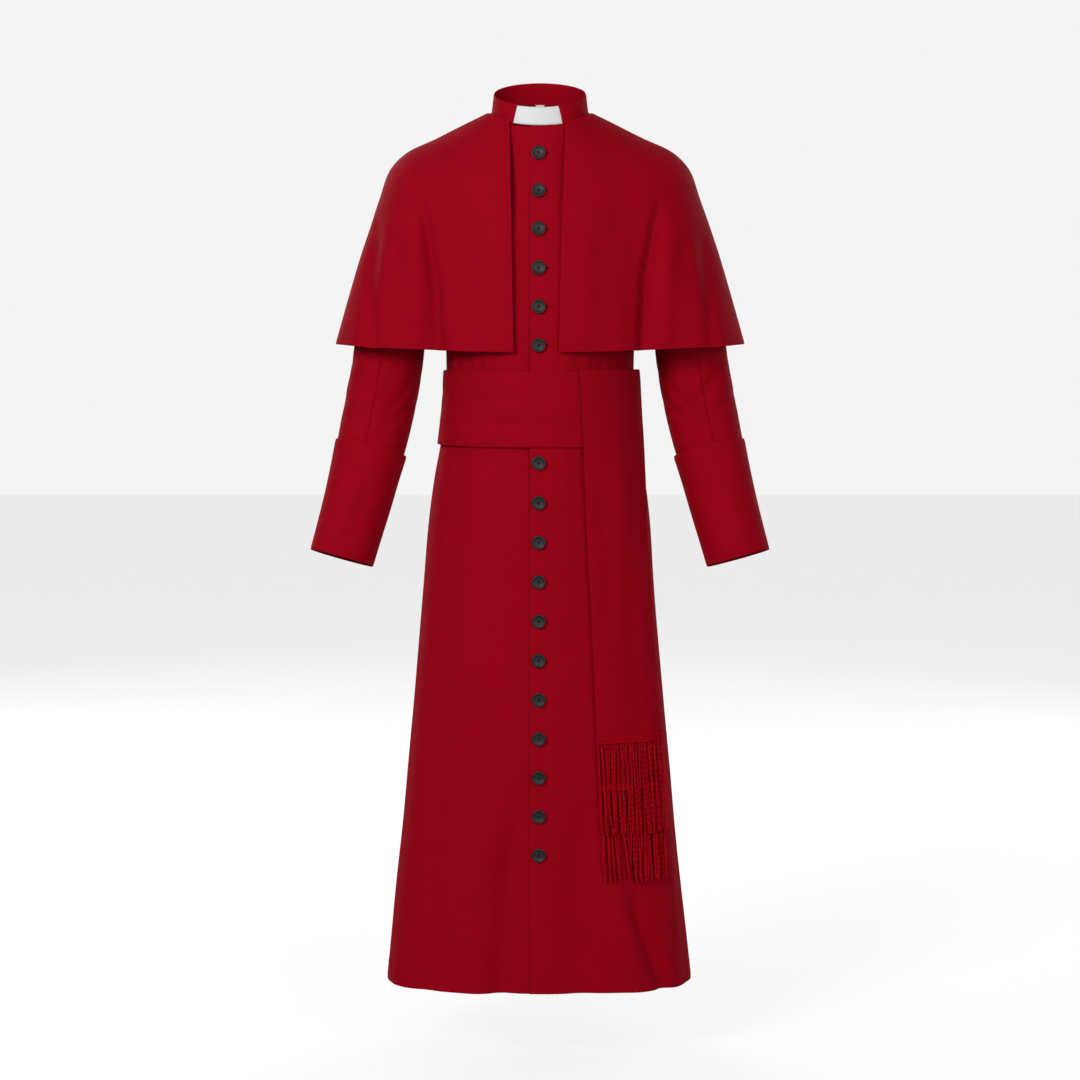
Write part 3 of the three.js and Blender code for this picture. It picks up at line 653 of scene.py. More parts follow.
@dataclass(frozen=True)
class MouldedFinish:
    """A moulded or smooth finish with a fine grain in its surface."""

    name: str
    light: tuple[float, float, float, float]
    dark: tuple[float, float, float, float]
    roughness: float
    grain: float = 900.0
    bump: float = 0.15
    glow: float = 0.0

    def material(self) -> bpy.types.Material:
        """Return the finish as a material, made the first time it is asked for."""
        if self.name in bpy.data.materials:
            return bpy.data.materials[self.name]
        material = bpy.data.materials.new(self.name)
        material.use_nodes = True
        tree = material.node_tree
        nodes = Nodes(tree)
        shader = tree.nodes["Principled BSDF"]
        where = nodes.add("ShaderNodeTexCoord").outputs["Object"]
        grain = nodes.add(
            "ShaderNodeTexNoise", {"Vector": where, "Scale": self.grain, "Detail": 4.0, "Roughness": 0.6}
        ).outputs[0]
        ramp = nodes.add("ShaderNodeValToRGB", {0: grain})
        ramp.color_ramp.elements[0].position = 0.3
        ramp.color_ramp.elements[1].position = 0.72
        ramp.color_ramp.elements[0].color = self.dark
        ramp.color_ramp.elements[1].color = self.light
        bump = nodes.add("ShaderNodeBump", {"Height": grain, "Strength": self.bump, "Distance": 0.0004})
        rough = nodes.add(
            "ShaderNodeMapRange", {0: grain, 3: self.roughness - 0.08, 4: self.roughness + 0.08}
        )
        tree.links.new(ramp.outputs[0], shader.inputs["Base Color"])
        tree.links.new(rough.outputs[0], shader.inputs["Roughness"])
        tree.links.new(bump.outputs[0], shader.inputs["Normal"])
        if self.glow > 0:
            seen = nodes.add("ShaderNodeLightPath").outputs["Is Camera Ray"]
            shader.inputs["Emission Color"].default_value = (1, 1, 1, 1)
            tree.links.new(nodes.math("MULTIPLY", seen, self.glow), shader.inputs["Emission Strength"])
        return material


RED_CLOTH = ClothFinish("Red cloth", linear(163, 3, 27), linear(153, 2, 23))
RED_THREAD = ClothFinish(
    "Red thread", linear(204, 6, 28), linear(168, 2, 18), roughness=0.6, sheen=0.1, weave=0.4, threads=1400.0
)
DARK_THREAD = ClothFinish("Buttonhole thread", linear(84, 14, 22), linear(60, 8, 14), roughness=0.7, sheen=0)
BLACK_THREAD = ClothFinish("Black thread", linear(50, 47, 50), linear(26, 24, 26), roughness=0.7, sheen=0)
TAB_WHITE = MouldedFinish("White tab", linear(236, 236, 236), linear(229, 229, 229), 0.5)
LABEL_WHITE = ClothFinish(
    "White tape", linear(236, 236, 234), linear(218, 218, 216), sheen_tint=(1, 1, 1, 1), threads=1600.0
)
BUTTON_BLACK = MouldedFinish("Black button", linear(36, 34, 37), linear(18, 17, 19), 0.5, grain=1500.0)
PALE_PAPER = MouldedFinish(
    "Pale floor", linear(150, 150, 150), linear(147, 147, 147), 0.9, grain=3.0, bump=0.0, glow=0.74
)


# ------------------------------------------------------------------ meshes


def finish_piece(
    obj: bpy.types.Object, finish: ClothFinish | MouldedFinish, nodes: Sequence[str] = ()
) -> bpy.types.Object:
    """Dress a piece and tie it to the frame.

    Args:
        obj: The piece.
        finish: Its finish.
        nodes: The solids that it stands for.

    Returns:
        The piece.
    """
    obj.data.materials.clear()
    obj.data.materials.append(finish.material())
    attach(obj, BODY)
    if nodes:
        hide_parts(*nodes)
    return obj


def new_object(name: str, mesh: bpy.types.Mesh) -> bpy.types.Object:
    """Put a mesh into the scene as an object at the origin."""
    obj = bpy.data.objects.new(name, mesh)
    bpy.context.collection.objects.link(obj)
    return obj


def cloth_mesh(name: str, grid: Grid) -> bpy.types.Object:
    """Make a grid a smooth mesh with a map of its cloth in metres.

    Args:
        name: The piece's name.
        grid: Its fine grid.

    Returns:
        The object, one layer of cloth.
    """
    points = grid.points
    rows, cols = points.shape[:2]
    across = np.concatenate([[0], np.cumsum(np.linalg.norm(np.diff(points, axis=1), axis=2).mean(axis=0))])
    up = np.concatenate([[0], np.cumsum(np.linalg.norm(np.diff(points, axis=0), axis=2).mean(axis=1))])
    faces = []
    maps = []
    for i, j in zip(*np.nonzero(grid.cells)):
        corners = [(i, j), (i, j + 1), (i + 1, j + 1), (i + 1, j)]
        maps.extend((across[b] * MM, up[a] * MM) for a, b in corners)
        if grid.closed:
            corners = [(a, b % (cols - 1)) for a, b in corners]
        faces.append([a * cols + b for a, b in corners])
    used = sorted({k for face in faces for k in face})
    place = {k: n for n, k in enumerate(used)}
    flat = points.reshape(-1, 3) * MM
    mesh = bpy.data.meshes.new(name)
    mesh.from_pydata([flat[k] for k in used], [], [[place[k] for k in face] for face in faces])
    layer = mesh.uv_layers.new(name="cloth")
    layer.data.foreach_set("uv", np.array(maps, dtype=np.float32).ravel())
    mesh.shade_smooth()
    mesh.update()
    return new_object(name, mesh)


def flat_size(grid: Grid) -> tuple[tuple[float, float], float]:
    """Measure the cut of a piece.

    Args:
        grid: The piece's fine grid before it is creased.

    Returns:
        The width and length of the cut and its area, in metres.
    """
    points = grid.points * MM
    across = np.linalg.norm(np.diff(points, axis=1), axis=2)
    up = np.linalg.norm(np.diff(points, axis=0), axis=2)
    row_widths = (across[:-1] * grid.cells).sum(axis=1)
    col_lengths = (up[:, :-1] * grid.cells).sum(axis=0)
    a, b, c = points[:-1, :-1], points[:-1, 1:], points[1:, :-1]
    d = points[1:, 1:]
    halves = np.linalg.norm(np.cross(b - a, c - a), axis=2) + np.linalg.norm(np.cross(b - d, c - d), axis=2)
    area = float((halves * grid.cells).sum() / 2)
    width, length = float(row_widths.max()), float(col_lengths.max())
    return (width, length), min(area, width * length)


def sheet_of_cloth(
    name: str,
    grid: Grid,
    creases: Iterable[Crease] = (),
    finish: ClothFinish | MouldedFinish = RED_CLOTH,
    thickness: float = CLOTH,
    spacing: float = 7.0,
    settle: float = 0.35,
) -> Grid:
    """Args:
        name: The node that the piece stands for, and the piece's own name with "_cloth" after it.
        grid: Its coarse grid.
        creases: Creases that cross it.
        finish: Its finish.
        thickness: The cloth's thickness.
        spacing: The size of the mesh.
        settle: The height of its slow waves.

    Returns:
        The grid of the piece's outer face.
    """
    return dress_sheet(
        name, creased(grid.refined(spacing), creases, settle), finish, thickness
    )


def dress_sheet(
    name: str,
    shaped: Grid,
    finish: ClothFinish | MouldedFinish = RED_CLOTH,
    thickness: float = CLOTH,
    press: float = 0.5,
) -> Grid:
    """Args:
        name: The node that the piece stands for, and the piece's own name with "_cloth" after it.
        shaped: Its fine, creased grid.
        finish: Its finish.
        thickness: The cloth's thickness.
        press: How far its edges turn in.

    Returns:
        The grid of the piece's outer face.
    """
    shaped = shaped.pressed(press, PRESS_WIDTH)
    flat, area = flat_size(shaped)
    obj = cloth_mesh(name + "_cloth", shaped)
    wall = obj.modifiers.new("Thickness", "SOLIDIFY")
    wall.thickness = thickness * MM
    wall.offset = -1
    finish_piece(obj, finish, [name])
    area = max(area, LEAST_SHARE * flat[0] * flat[1])
    LOG.info("%s: cut %.0f x %.0f mm, %.4f m2", name, flat[0] * 1000, flat[1] * 1000, area)
    return shaped


# ------------------------------------------------------------------ body and skirt

BODY_HEIGHTS = [row["z"] for row in reversed(BODY_SECTIONS)]

GATHERS = table(
    "x lean top width depth",
    [
        (-128, 5, -338, 5, 3.2),
        (-112, 6, -350, 6, 2.4),
        (-93, 3, -344, 5, 3.4),
        (-70, 4, -356, 7, 1.8),
        (-44, 2, -362, 6, 1.2),
        (58, -3, -360, 7, 1.6),
        (84, -2, -346, 5, 3.4),
        (97, -4, -340, 5, 3.8),
        (112, -5, -350, 5, 2.6),
        (127, -6, -342, 5, 3.0),
    ],
)
BODY_CREASES = [
    *(
        Crease(
            Face.FRONT, ((g["x"] - g["lean"], g["top"]), (g["x"], -380), (g["x"], -404)),
            g["width"], g["depth"], False, True,
        )
        for g in GATHERS
    ),
    Crease(Face.FRONT, ((-34, -1040), (-50, -1226), (-60, -1330), (-62, -1400)), 20, 8, False, True),
    Crease(Face.FRONT, ((-78, -1060), (-94, -1230), (-102, -1400)), 30, -5, False, True),
    Crease(Face.FRONT, ((-86, -850), (-104, -950), (-118, -1100)), 20, 4),
    Crease(Face.FRONT, ((-126, -540), (-146, -760), (-158, -980), (-162, -1150)), 20, 5, True, False),
    Crease(Face.FRONT, ((-150, -1010), (-172, -1200), (-184, -1400)), 20, 6, False, True),
    Crease(Face.FRONT, ((70, -1050), (60, -1230), (64, -1400)), 26, 5, False, True),
    Crease(Face.FRONT, ((136, -1190), (164, -1290), (204, -1400)), 11, 11, False, True),
    Crease(Face.FRONT, ((112, -1220), (136, -1310), (160, -1400)), 22, -5, False, True),
    Crease(Face.FRONT, ((162, -540), (178, -760), (188, -960), (208, -1150)), 8, 6, True, False),
    Crease(Face.FRONT, ((27, -519), (27, -1382)), 3.5, 0.8, True, True),
    Crease(Face.FRONT, ((27, -60), (27, -402)), 3.5, 0.6, True, True),
    Crease(Face.ANY, ((176, -560), (198, -800), (220, -1050), (238, -1400)), 13, 5, False, True),
    *both_sides(
        [
            Crease(Face.BACK, ((146, -519), (142, -640), (140, -760), (144, -900)), 8, 6, True, False),
            Crease(Face.BACK, ((128, -519), (124, -700), (126, -980)), 13, -5, True, False),
            Crease(Face.BACK, ((66, -560), (78, -820), (92, -1100), (98, -1400)), 30, 9, False, True),
            Crease(Face.BACK, ((22, -700), (30, -1000), (36, -1400)), 26, -7, False, True),
            Crease(Face.BACK, ((118, -900), (132, -1150), (136, -1400)), 14, 8, False, True),
            Crease(Face.BACK, ((108, -340), (112, -404)), 6, 4.5, True, True),
            Crease(Face.BACK, ((134, -345), (138, -404)), 5, 3.5, True, True),
            Crease(Face.BACK, ((70, -356), (74, -404)), 7, 2.2, True, True),
        ]
    ),
]


@dataclass
class BodyAndSkirt:
    """The fronts, sides and back, cut in one length from the shoulders to the hem, and the back pleats."""

    front_edges: tuple[float, float, float] = (LAP_X, 7.0, UNDERLAP_X)
    side_columns: int = 7
    underlay_steps: int = 3
    hem_inset: float = 26.0
    placket_inset: float = 43.0
    grids: dict[str, Grid] = field(default_factory=dict)
    lap: Grid | None = None

    def top_of(self, kind: str, value: float, side: int) -> np.ndarray | None:
        """Return where a column ends: on the collar seam, on the shoulder seam, or nowhere."""
        if kind == "armpit":
            return None
        if kind == "neck":
            point = neck_point(value)
        else:
            start = neck_point(NECK_POINT_TURN)
            point = start + (np.array(SHOULDER_TIP) - start) * value
        return point * np.array([side, 1, 1])

    def column(
        self, at: Callable[[float], np.ndarray], top: np.ndarray | None, shoulder: bool, rim: bool
    ) -> list[np.ndarray | None]:
        """Work out one column from the hem up.

        Args:
            at: The column's point at a height, up to the armpit.
            top: Where it ends, or None at the armpit.
            shoulder: Whether it ends on the shoulder seam.
            rim: Whether it is the armhole's rim.

        Returns:
            Its points, None above the armpit where the armhole is.
        """
        points: list[np.ndarray | None] = [at(z) for z in BODY_HEIGHTS]
        base = points[-1]
        for k in range(1, YOKE_ROWS + 1):
            share = k / YOKE_ROWS
            if top is None:
                points.append(None)
                continue
            gentle = share * share * (3 - 2 * share)
            full = 1 - math.sqrt(1 - share * share)
            ease = gentle + (full - gentle) * SHOULDER_FULLNESS if shoulder else gentle
            shares = np.array([share**SHOULDER_SLOPE if shoulder else share, ease, share])
            point = base + (top - base) * shares
            if rim:
                point[0] -= math.copysign(
                    ARMHOLE_SCOOP * math.sin(math.pi * share) * (1 - share), point[0]
                )
            points.append(point)
        return points

    def grid_of(self, columns: list[list[np.ndarray | None]], rims: Sequence[int]) -> Grid:
        """Join columns into a grid whose armhole cells are left out.

        Args:
            columns: The columns, towards greater turns.
            rims: The columns that border an armhole.

        Returns:
            The grid, its missing points continued from the armhole's rim.
        """
        armpit = len(BODY_HEIGHTS) - 1
        rows = len(columns[0])
        cells = np.ones((rows - 1, len(columns) - 1), bool)
        points = np.zeros((rows, len(columns), 3))
        for j, column in enumerate(columns):
            rim = min(rims, key=lambda k: abs(k - j))
            for i, point in enumerate(column):
                if point is None:
                    point = columns[rim][i] + column[armpit] - columns[rim][armpit]
                    for cell in (j - 1, j):
                        if 0 <= cell < len(columns) - 1:
                            cells[i - 1, cell] = False
                points[i, j] = point
        return Grid(points, cells)

    def front(self, side: Side) -> Grid:
        """Return a front's coarse grid, from its free edge to the side seam."""
        columns = []
        for x in self.front_edges:
            top = neck_point(turn_of(x, NECK_HALF))
            columns.append(self.column(lambda z, x=x: body_point_at_x(x, z), top, False, False))
        for turn, kind, value in FRONT_COLUMNS:
            top = self.top_of(kind, value, side.value)
            columns.append(
                self.column(
                    lambda z, turn=turn: body_point(side.value * turn, z),
                    top,
                    kind == "shoulder",
                    (kind, value) == ("shoulder", 1.0),
                )
            )
        if side is Side.RIGHT:
            columns.reverse()
            return self.grid_of(columns, [2])
        return self.grid_of(columns, [len(columns) - 3])

    def side_end(self, z: float) -> float:
        """Return the turn at which the left side panel ends at a height."""
        if z > PLEAT_SECTIONS[0]["z"]:
            return BACK_TURN
        tuck = section_at(PLEAT_SECTIONS, z)["tuck"]
        return 180 - turn_of(tuck, section_at(BODY_SECTIONS, z)["half"])

    def side(self) -> Grid:
        """Return the left side panel's coarse grid."""
        rows = []
        for z in BODY_HEIGHTS:
            section = dict(section_at(BODY_SECTIONS, z))
            if z <= PLEAT_SECTIONS[0]["z"]:
                section["back"] = section_at(PLEAT_SECTIONS, z)["under"]
            turns = np.linspace(SIDE_TURN, self.side_end(z), self.side_columns)
            rows.append([on_section(section, turn, section["square"], z) for turn in turns])
        return Grid(np.array(rows))

    def back_point(self, share: float, z: float) -> np.ndarray:
        """Return a point of the back panel at a share of its half width."""
        section = section_at(BODY_SECTIONS, z)
        if z > PLEAT_SECTIONS[0]["z"]:
            x = share * section["half"] * math.sin(math.radians(BACK_TURN))
            return on_section(section, 180 - turn_of(x, section["half"]), section["square"], z)
        pleat = section_at(PLEAT_SECTIONS, z)
        own = {"half": pleat["half"], "side": pleat["mid"], "back": section["back"], "front": 0}
        return on_section(own, 180 - turn_of(share * pleat["fold"], pleat["half"]), 2, z)

    def back(self) -> Grid:
        """Return the back panel's coarse grid, from the left pleat to the right one."""
        right = [(-share, kind, value) for share, kind, value in reversed(BACK_COLUMNS[:-1])]
        columns = []
        for share, kind, value in BACK_COLUMNS + right:
            top = self.top_of(kind, value, -1 if share < 0 else 1)
            columns.append(
                self.column(
                    lambda z, share=share: self.back_point(share, z),
                    top,
                    kind == "shoulder",
                    (kind, value) == ("shoulder", 1.0),
                )
            )
        return self.grid_of(columns, [2, len(columns) - 3])

    def underlay(self) -> Grid:
        """Return the left pleat's underlay, from the side panel's tuck to the back panel's fold."""
        rows = []
        for z in (height for height in BODY_HEIGHTS if height <= UNDERLAY_TOP):
            section = dict(section_at(BODY_SECTIONS, z))
            section["back"] = section_at(PLEAT_SECTIONS, z)["under"]
            start = on_section(section, self.side_end(z), section["square"], z) + np.array([-1.0, 0, 0])
            end = self.back_point(1, z) + np.array([-1.6, -2.2, 0])
            shares = np.linspace(0, 1, self.underlay_steps + 1)
            rows.append([start + (end - start) * share for share in shares])
        return Grid(np.array(rows))

    def build(self) -> None:
        """Make every panel of the body."""
        left, right = self.front(Side.LEFT), self.front(Side.RIGHT)
        share = np.clip((LAP_END_X - left.points[..., 0]) / (LAP_END_X - UNDERLAP_X), 0, 1)
        self.grids["front_left"] = left.moved(LAP_LIFT * share)
        self.grids["front_right"] = right
        self.grids["side_left"] = self.side()
        self.grids["side_right"] = self.grids["side_left"].mirrored()
        self.grids["back_centre"] = self.back()
        self.grids["pleat_left"] = self.underlay()
        self.grids["pleat_right"] = self.grids["pleat_left"].mirrored()
        shaped = {
            name: sheet_of_cloth(name, grid, BODY_CREASES, spacing=7.0) for name, grid in self.grids.items()
        }
        self.lap = shaped["front_left"]
        rows = [
            shaped[name].line_along(Edge.BOTTOM, self.hem_inset)
            for name in ("front_left", "front_right", "side_left", "side_right", "back_centre")
        ]
        placket = shaped["front_left"].line_along(Edge.FIRST, self.placket_inset)
        stitches_along("stitches_body", [*rows, placket])


# ------------------------------------------------------------------ sleeves and cuffs

SLEEVE_SEAMS = (3, 12)
SLEEVE_CREASES = [
    Crease(Face.FRONT, ((292, -384), (268, -424), (246, -452), (214, -468)), 8, 2.8, True, True),
    Crease(Face.FRONT, ((306, -440), (280, -470), (252, -488)), 7, 2, True, False),
    Crease(Face.FRONT, ((192, -404), (216, -440), (248, -474)), 7, 2.5, True, False),
    Crease(Face.FRONT, ((200, -452), (226, -476), (262, -500)), 7, 2.1, True, False),
    Crease(Face.FRONT, ((262, -396), (244, -430), (222, -446)), 9, -1.6, False, False),
    Crease(Face.BACK, ((296, -404), (262, -436), (222, -452)), 8, 3.1, True, True),
    Crease(Face.BACK, ((308, -456), (276, -482), (232, -494)), 7, 2.6, True, True),
    Crease(Face.BACK, ((214, -386), (240, -412), (270, -424)), 8, 1.9, True, False),
    Crease(Face.ANY, ((224, -380), (236, -440), (246, -500)), 12, 1.4, True, True),
]
CUFF_CREASES = [
    Crease(Face.FRONT, ((254, -560), (282, -616), (300, -690)), 11, 2.4),
    Crease(Face.FRONT, ((290, -580), (306, -630), (330, -690)), 9, -1.6),
    Crease(Face.BACK, ((300, -560), (302, -620), (318, -690)), 11, 2.6),
]


@dataclass
class Sleeves:
    """Two full sleeves and their turned-back cuffs, the right ones mirrored from the left."""

    body: BodyAndSkirt
    cuff_sides: int = 20
    stitch_inset: float = 6.0

    def rim(self) -> tuple[np.ndarray, np.ndarray]:
        """Return the left armhole's points and normals, up the front, down the back and along the armpit."""
        armpit = len(BODY_HEIGHTS) - 1
        front, back, side = (self.body.grids[name] for name in ("front_left", "back_centre", "side_left"))
        rows = front.points.shape[0]
        edge = front.points.shape[1] - 3
        picks = [(front, i, edge) for i in range(armpit, rows)]
        picks += [(back, i, 2) for i in range(rows - 2, armpit - 1, -1)]
        picks += [(back, armpit, 1)]
        picks += [(side, armpit, j) for j in range(self.body.side_columns - 1, -1, -2)]
        picks += [(front, armpit, edge + 1)]
        points = np.array([grid.points[i, j] for grid, i, j in picks])
        normals = np.array([grid.normals()[i, j] for grid, i, j in picks])
        return points, normals

    def ring(self, rows: list[dict[str, float]], i: int, angles: np.ndarray) -> np.ndarray:
        """Return a ring round the arm, square to its path.

        Args:
            rows: The table of rings.
            i: Which ring.
            angles: Where its points stand, from the front over the outer side.

        Returns:
            The ring's points.
        """
        centre, after, before = (
            np.array([row["x"], row["y"], row["z"]])
            for row in (rows[i], rows[min(i + 1, len(rows) - 1)], rows[max(i - 1, 0)])
        )
        up = (after - before) / np.linalg.norm(after - before)
        backwards = np.array([0, 1, 0]) - up * up[1]
        backwards /= np.linalg.norm(backwards)
        outwards = np.cross(backwards, up)
        return (
            centre
            - rows[i]["deep"] * np.cos(angles)[:, None] * backwards
            + rows[i]["across"] * np.sin(angles)[:, None] * outwards
        )

    def sleeve(self) -> Grid:
        """Return the left sleeve's coarse grid, its last column on its first."""
        rim, normals = self.rim()
        steps = np.linalg.norm(np.roll(rim, -1, axis=0) - rim, axis=1)
        shares = np.concatenate([[0], np.cumsum(steps)[:-1]]) / steps.sum()
        angles = RING_START + 2 * math.pi * shares
        rings = [self.ring(SLEEVE_RINGS, i, angles) for i in range(len(SLEEVE_RINGS))]
        cap = rings[-1] + (rim - rings[-1]) * SLEEVE_CAP_SHARE + normals * SLEEVE_CAP_CLEAR
        cap[:, 0] += SLEEVE_CAP_SWELL * np.maximum(0, np.sin(angles))
        top = rim + (cap - rim) * 0.04
        points = np.array([*rings, cap, top])
        return Grid(np.concatenate([points, points[:, :1]], axis=1), closed=True)

    def cuff(self) -> Grid:
        """Return the left cuff's coarse grid, its last column on its first."""
        angles = RING_START + 2 * math.pi * np.arange(self.cuff_sides + 1) / self.cuff_sides
        return Grid(np.array([self.ring(CUFF_RINGS, i, angles) for i in range(len(CUFF_RINGS))]), closed=True)

    def build(self) -> None:
        """Make both sleeves and both cuffs."""
        rows = []
        front, behind = SLEEVE_SEAMS
        for side in Side:
            mirror = side is Side.RIGHT
            sleeve, cuff = self.sleeve().refined(5.0), self.cuff().refined(5.0)
            parts = {"top": (front, behind), "under": (behind, front)}
            creases = [c for c in both_sides(SLEEVE_CREASES) if (c.line[0][0] < 0) == mirror]
            if mirror:
                sleeve = sleeve.mirrored()
                parts = {part: (last, first) for part, (first, last) in parts.items()}
            shaped = creased(sleeve, creases, 0.5)
            for part, (first, last) in parts.items():
                piece = shaped.between(first, last)
                dress_sheet(f"sleeve_{part}_{side.name.lower()}", piece, press=0.12)
            creases = [c for c in both_sides(CUFF_CREASES) if (c.line[0][0] < 0) == mirror]
            shaped = creased(cuff.mirrored() if mirror else cuff, creases, 0.25)
            name = f"sleeve_under_{side.name.lower()}_cloth"
            shaped = dress_sheet(f"cuff_{side.name.lower()}", shaped)
            rows += [shaped.line_along(edge, self.stitch_inset) for edge in (Edge.TOP, Edge.BOTTOM)]
        stitches_along("stitches_cuffs", rows)


# ------------------------------------------------------------------ collar


@dataclass
class Collar:
    """The stand collar, the white tab in its opening and the blank label inside the back neck."""

    ends: tuple[float, float] = (37.0, 44.0)
    slant: float = 8.0
    foot: float = -0.09
    tab_ends: tuple[float, float] = (50.0, 57.0)
    tab_height: float = 30.0
    tab_inset: float = 2.4
    label: tuple[float, float, float] = (14.0, 1.0, 18.0)
    label_y: float = 57.0

    def band(
        self, low_turns: tuple[float, float], high_turns: tuple[float, float],
        low: float, high: float, inset: float, steps: int,
    ) -> Grid:
        """Return a band that stands on the collar seam.

        Args:
            low_turns: The turns of its ends at the bottom.
            high_turns: The turns of its ends at the top.
            low: The share of the collar's height where it begins.
            high: The share where it ends.
            inset: How far it lies inside the collar's outer face.
            steps: How many columns it has.

        Returns:
            Its coarse grid.
        """
        rows = []
        for up in np.linspace(0, 1, 5):
            share = low + (high - low) * up
            shrink = COLLAR_TAPER * share + inset
            ends = [a + (b - a) * up for a, b in zip(low_turns, high_turns)]
            angles = np.radians(np.linspace(ends[0], ends[1], steps + 1))
            rows.append(
                np.stack(
                    [
                        (NECK_HALF - shrink) * np.sin(angles),
                        -(NECK_DEEP - shrink) * np.cos(angles),
                        -NECK_RISE * np.cos(angles) + COLLAR_HEIGHT * share,
                    ],
                    axis=1,
                )
            )
        return Grid(np.array(rows))

    def build(self) -> None:
        """Make the collar's pieces."""
        left, right = self.ends
        top_half = NECK_HALF - COLLAR_TAPER
        band = self.band(
            (turn_of(left, NECK_HALF), 360 - turn_of(right, NECK_HALF)),
            (turn_of(left - self.slant, top_half), 360 - turn_of(right - self.slant, top_half)),
            self.foot, 1.0, 0.3, 40,
        )
        shaped = sheet_of_cloth("collar_band", band, spacing=3.0, thickness=1.5, settle=0.1)
        stitches_along("stitches_collar", [shaped.line_along(edge, 3.5) for edge in (Edge.TOP, Edge.BOTTOM)])
        ends = (-turn_of(self.tab_ends[1], NECK_HALF), turn_of(self.tab_ends[0], NECK_HALF))
        tab = self.band(ends, ends, 0.05, self.tab_height / COLLAR_HEIGHT, self.tab_inset, 12)
        sheet_of_cloth(
            "collar_tab", tab, spacing=3.0, thickness=1.0, settle=0.0,
            finish=TAB_WHITE,
        )
        width, thick, height = self.label
        low = NECK_RISE - 2 - height
        rows = [
            [np.array([x, self.label_y - thick / 2, z]) for x in np.linspace(-width / 2, width / 2, 4)]
            for z in np.linspace(low, low + height, 5)
        ]
        sheet_of_cloth(
            "neck_label", Grid(np.array(rows)), spacing=2.0, thickness=0.6, settle=0.0,
            finish=LABEL_WHITE,
        )


# ------------------------------------------------------------------ cape

CAPE_CREASES = [
    Crease(Face.FRONT, ((-190, -112), (-172, -206), (-162, -276), (-156, -380)), 6.5, 13, False, True),
    Crease(Face.FRONT, ((190, -122), (176, -186), (164, -250), (158, -380)), 6.5, 13, False, True),
    Crease(Face.FRONT, ((-206, -140), (-192, -260), (-188, -380)), 17, -9, False, True),
    Crease(Face.FRONT, ((206, -150), (194, -260), (190, -380)), 17, -9, False, True),
    Crease(Face.FRONT, ((-96, -150), (-108, -270), (-104, -380)), 22, 4, False, True),
    Crease(Face.FRONT, ((92, -170), (100, -280), (96, -380)), 22, 4, False, True),
    Crease(Face.FRONT, ((-256, -140), (-268, -260), (-262, -380)), 12, 7, False, True),
    Crease(Face.FRONT, ((252, -160), (266, -270), (270, -380)), 12, 6, False, True),
    Crease(Face.BACK, ((-48, -130), (-36, -276), (-26, -380)), 9, 8, False, True),
    Crease(Face.BACK, ((-70, -150), (-64, -270), (-60, -380)), 18, -6, False, True),
    Crease(Face.BACK, ((-226, -110), (-222, -240), (-214, -380)), 8, 14, False, True),
    Crease(Face.BACK, ((-196, -120), (-190, -250), (-182, -380)), 17, -8, False, True),
    Crease(Face.BACK, ((232, -110), (226, -240), (222, -380)), 8, 14, False, True),
    Crease(Face.BACK, ((204, -120), (196, -250), (188, -380)), 17, -7, False, True),
    Crease(Face.BACK, ((90, -170), (104, -280), (110, -380)), 20, 6, False, True),
    Crease(Face.BACK, ((-120, -180), (-138, -290), (-150, -380)), 18, 6, False, True),
    Crease(Face.BACK, ((36, -190), (30, -290), (34, -380)), 16, 4, False, True),
    Crease(Face.BACK, ((168, -190), (170, -290), (176, -380)), 14, 5, False, True),
]


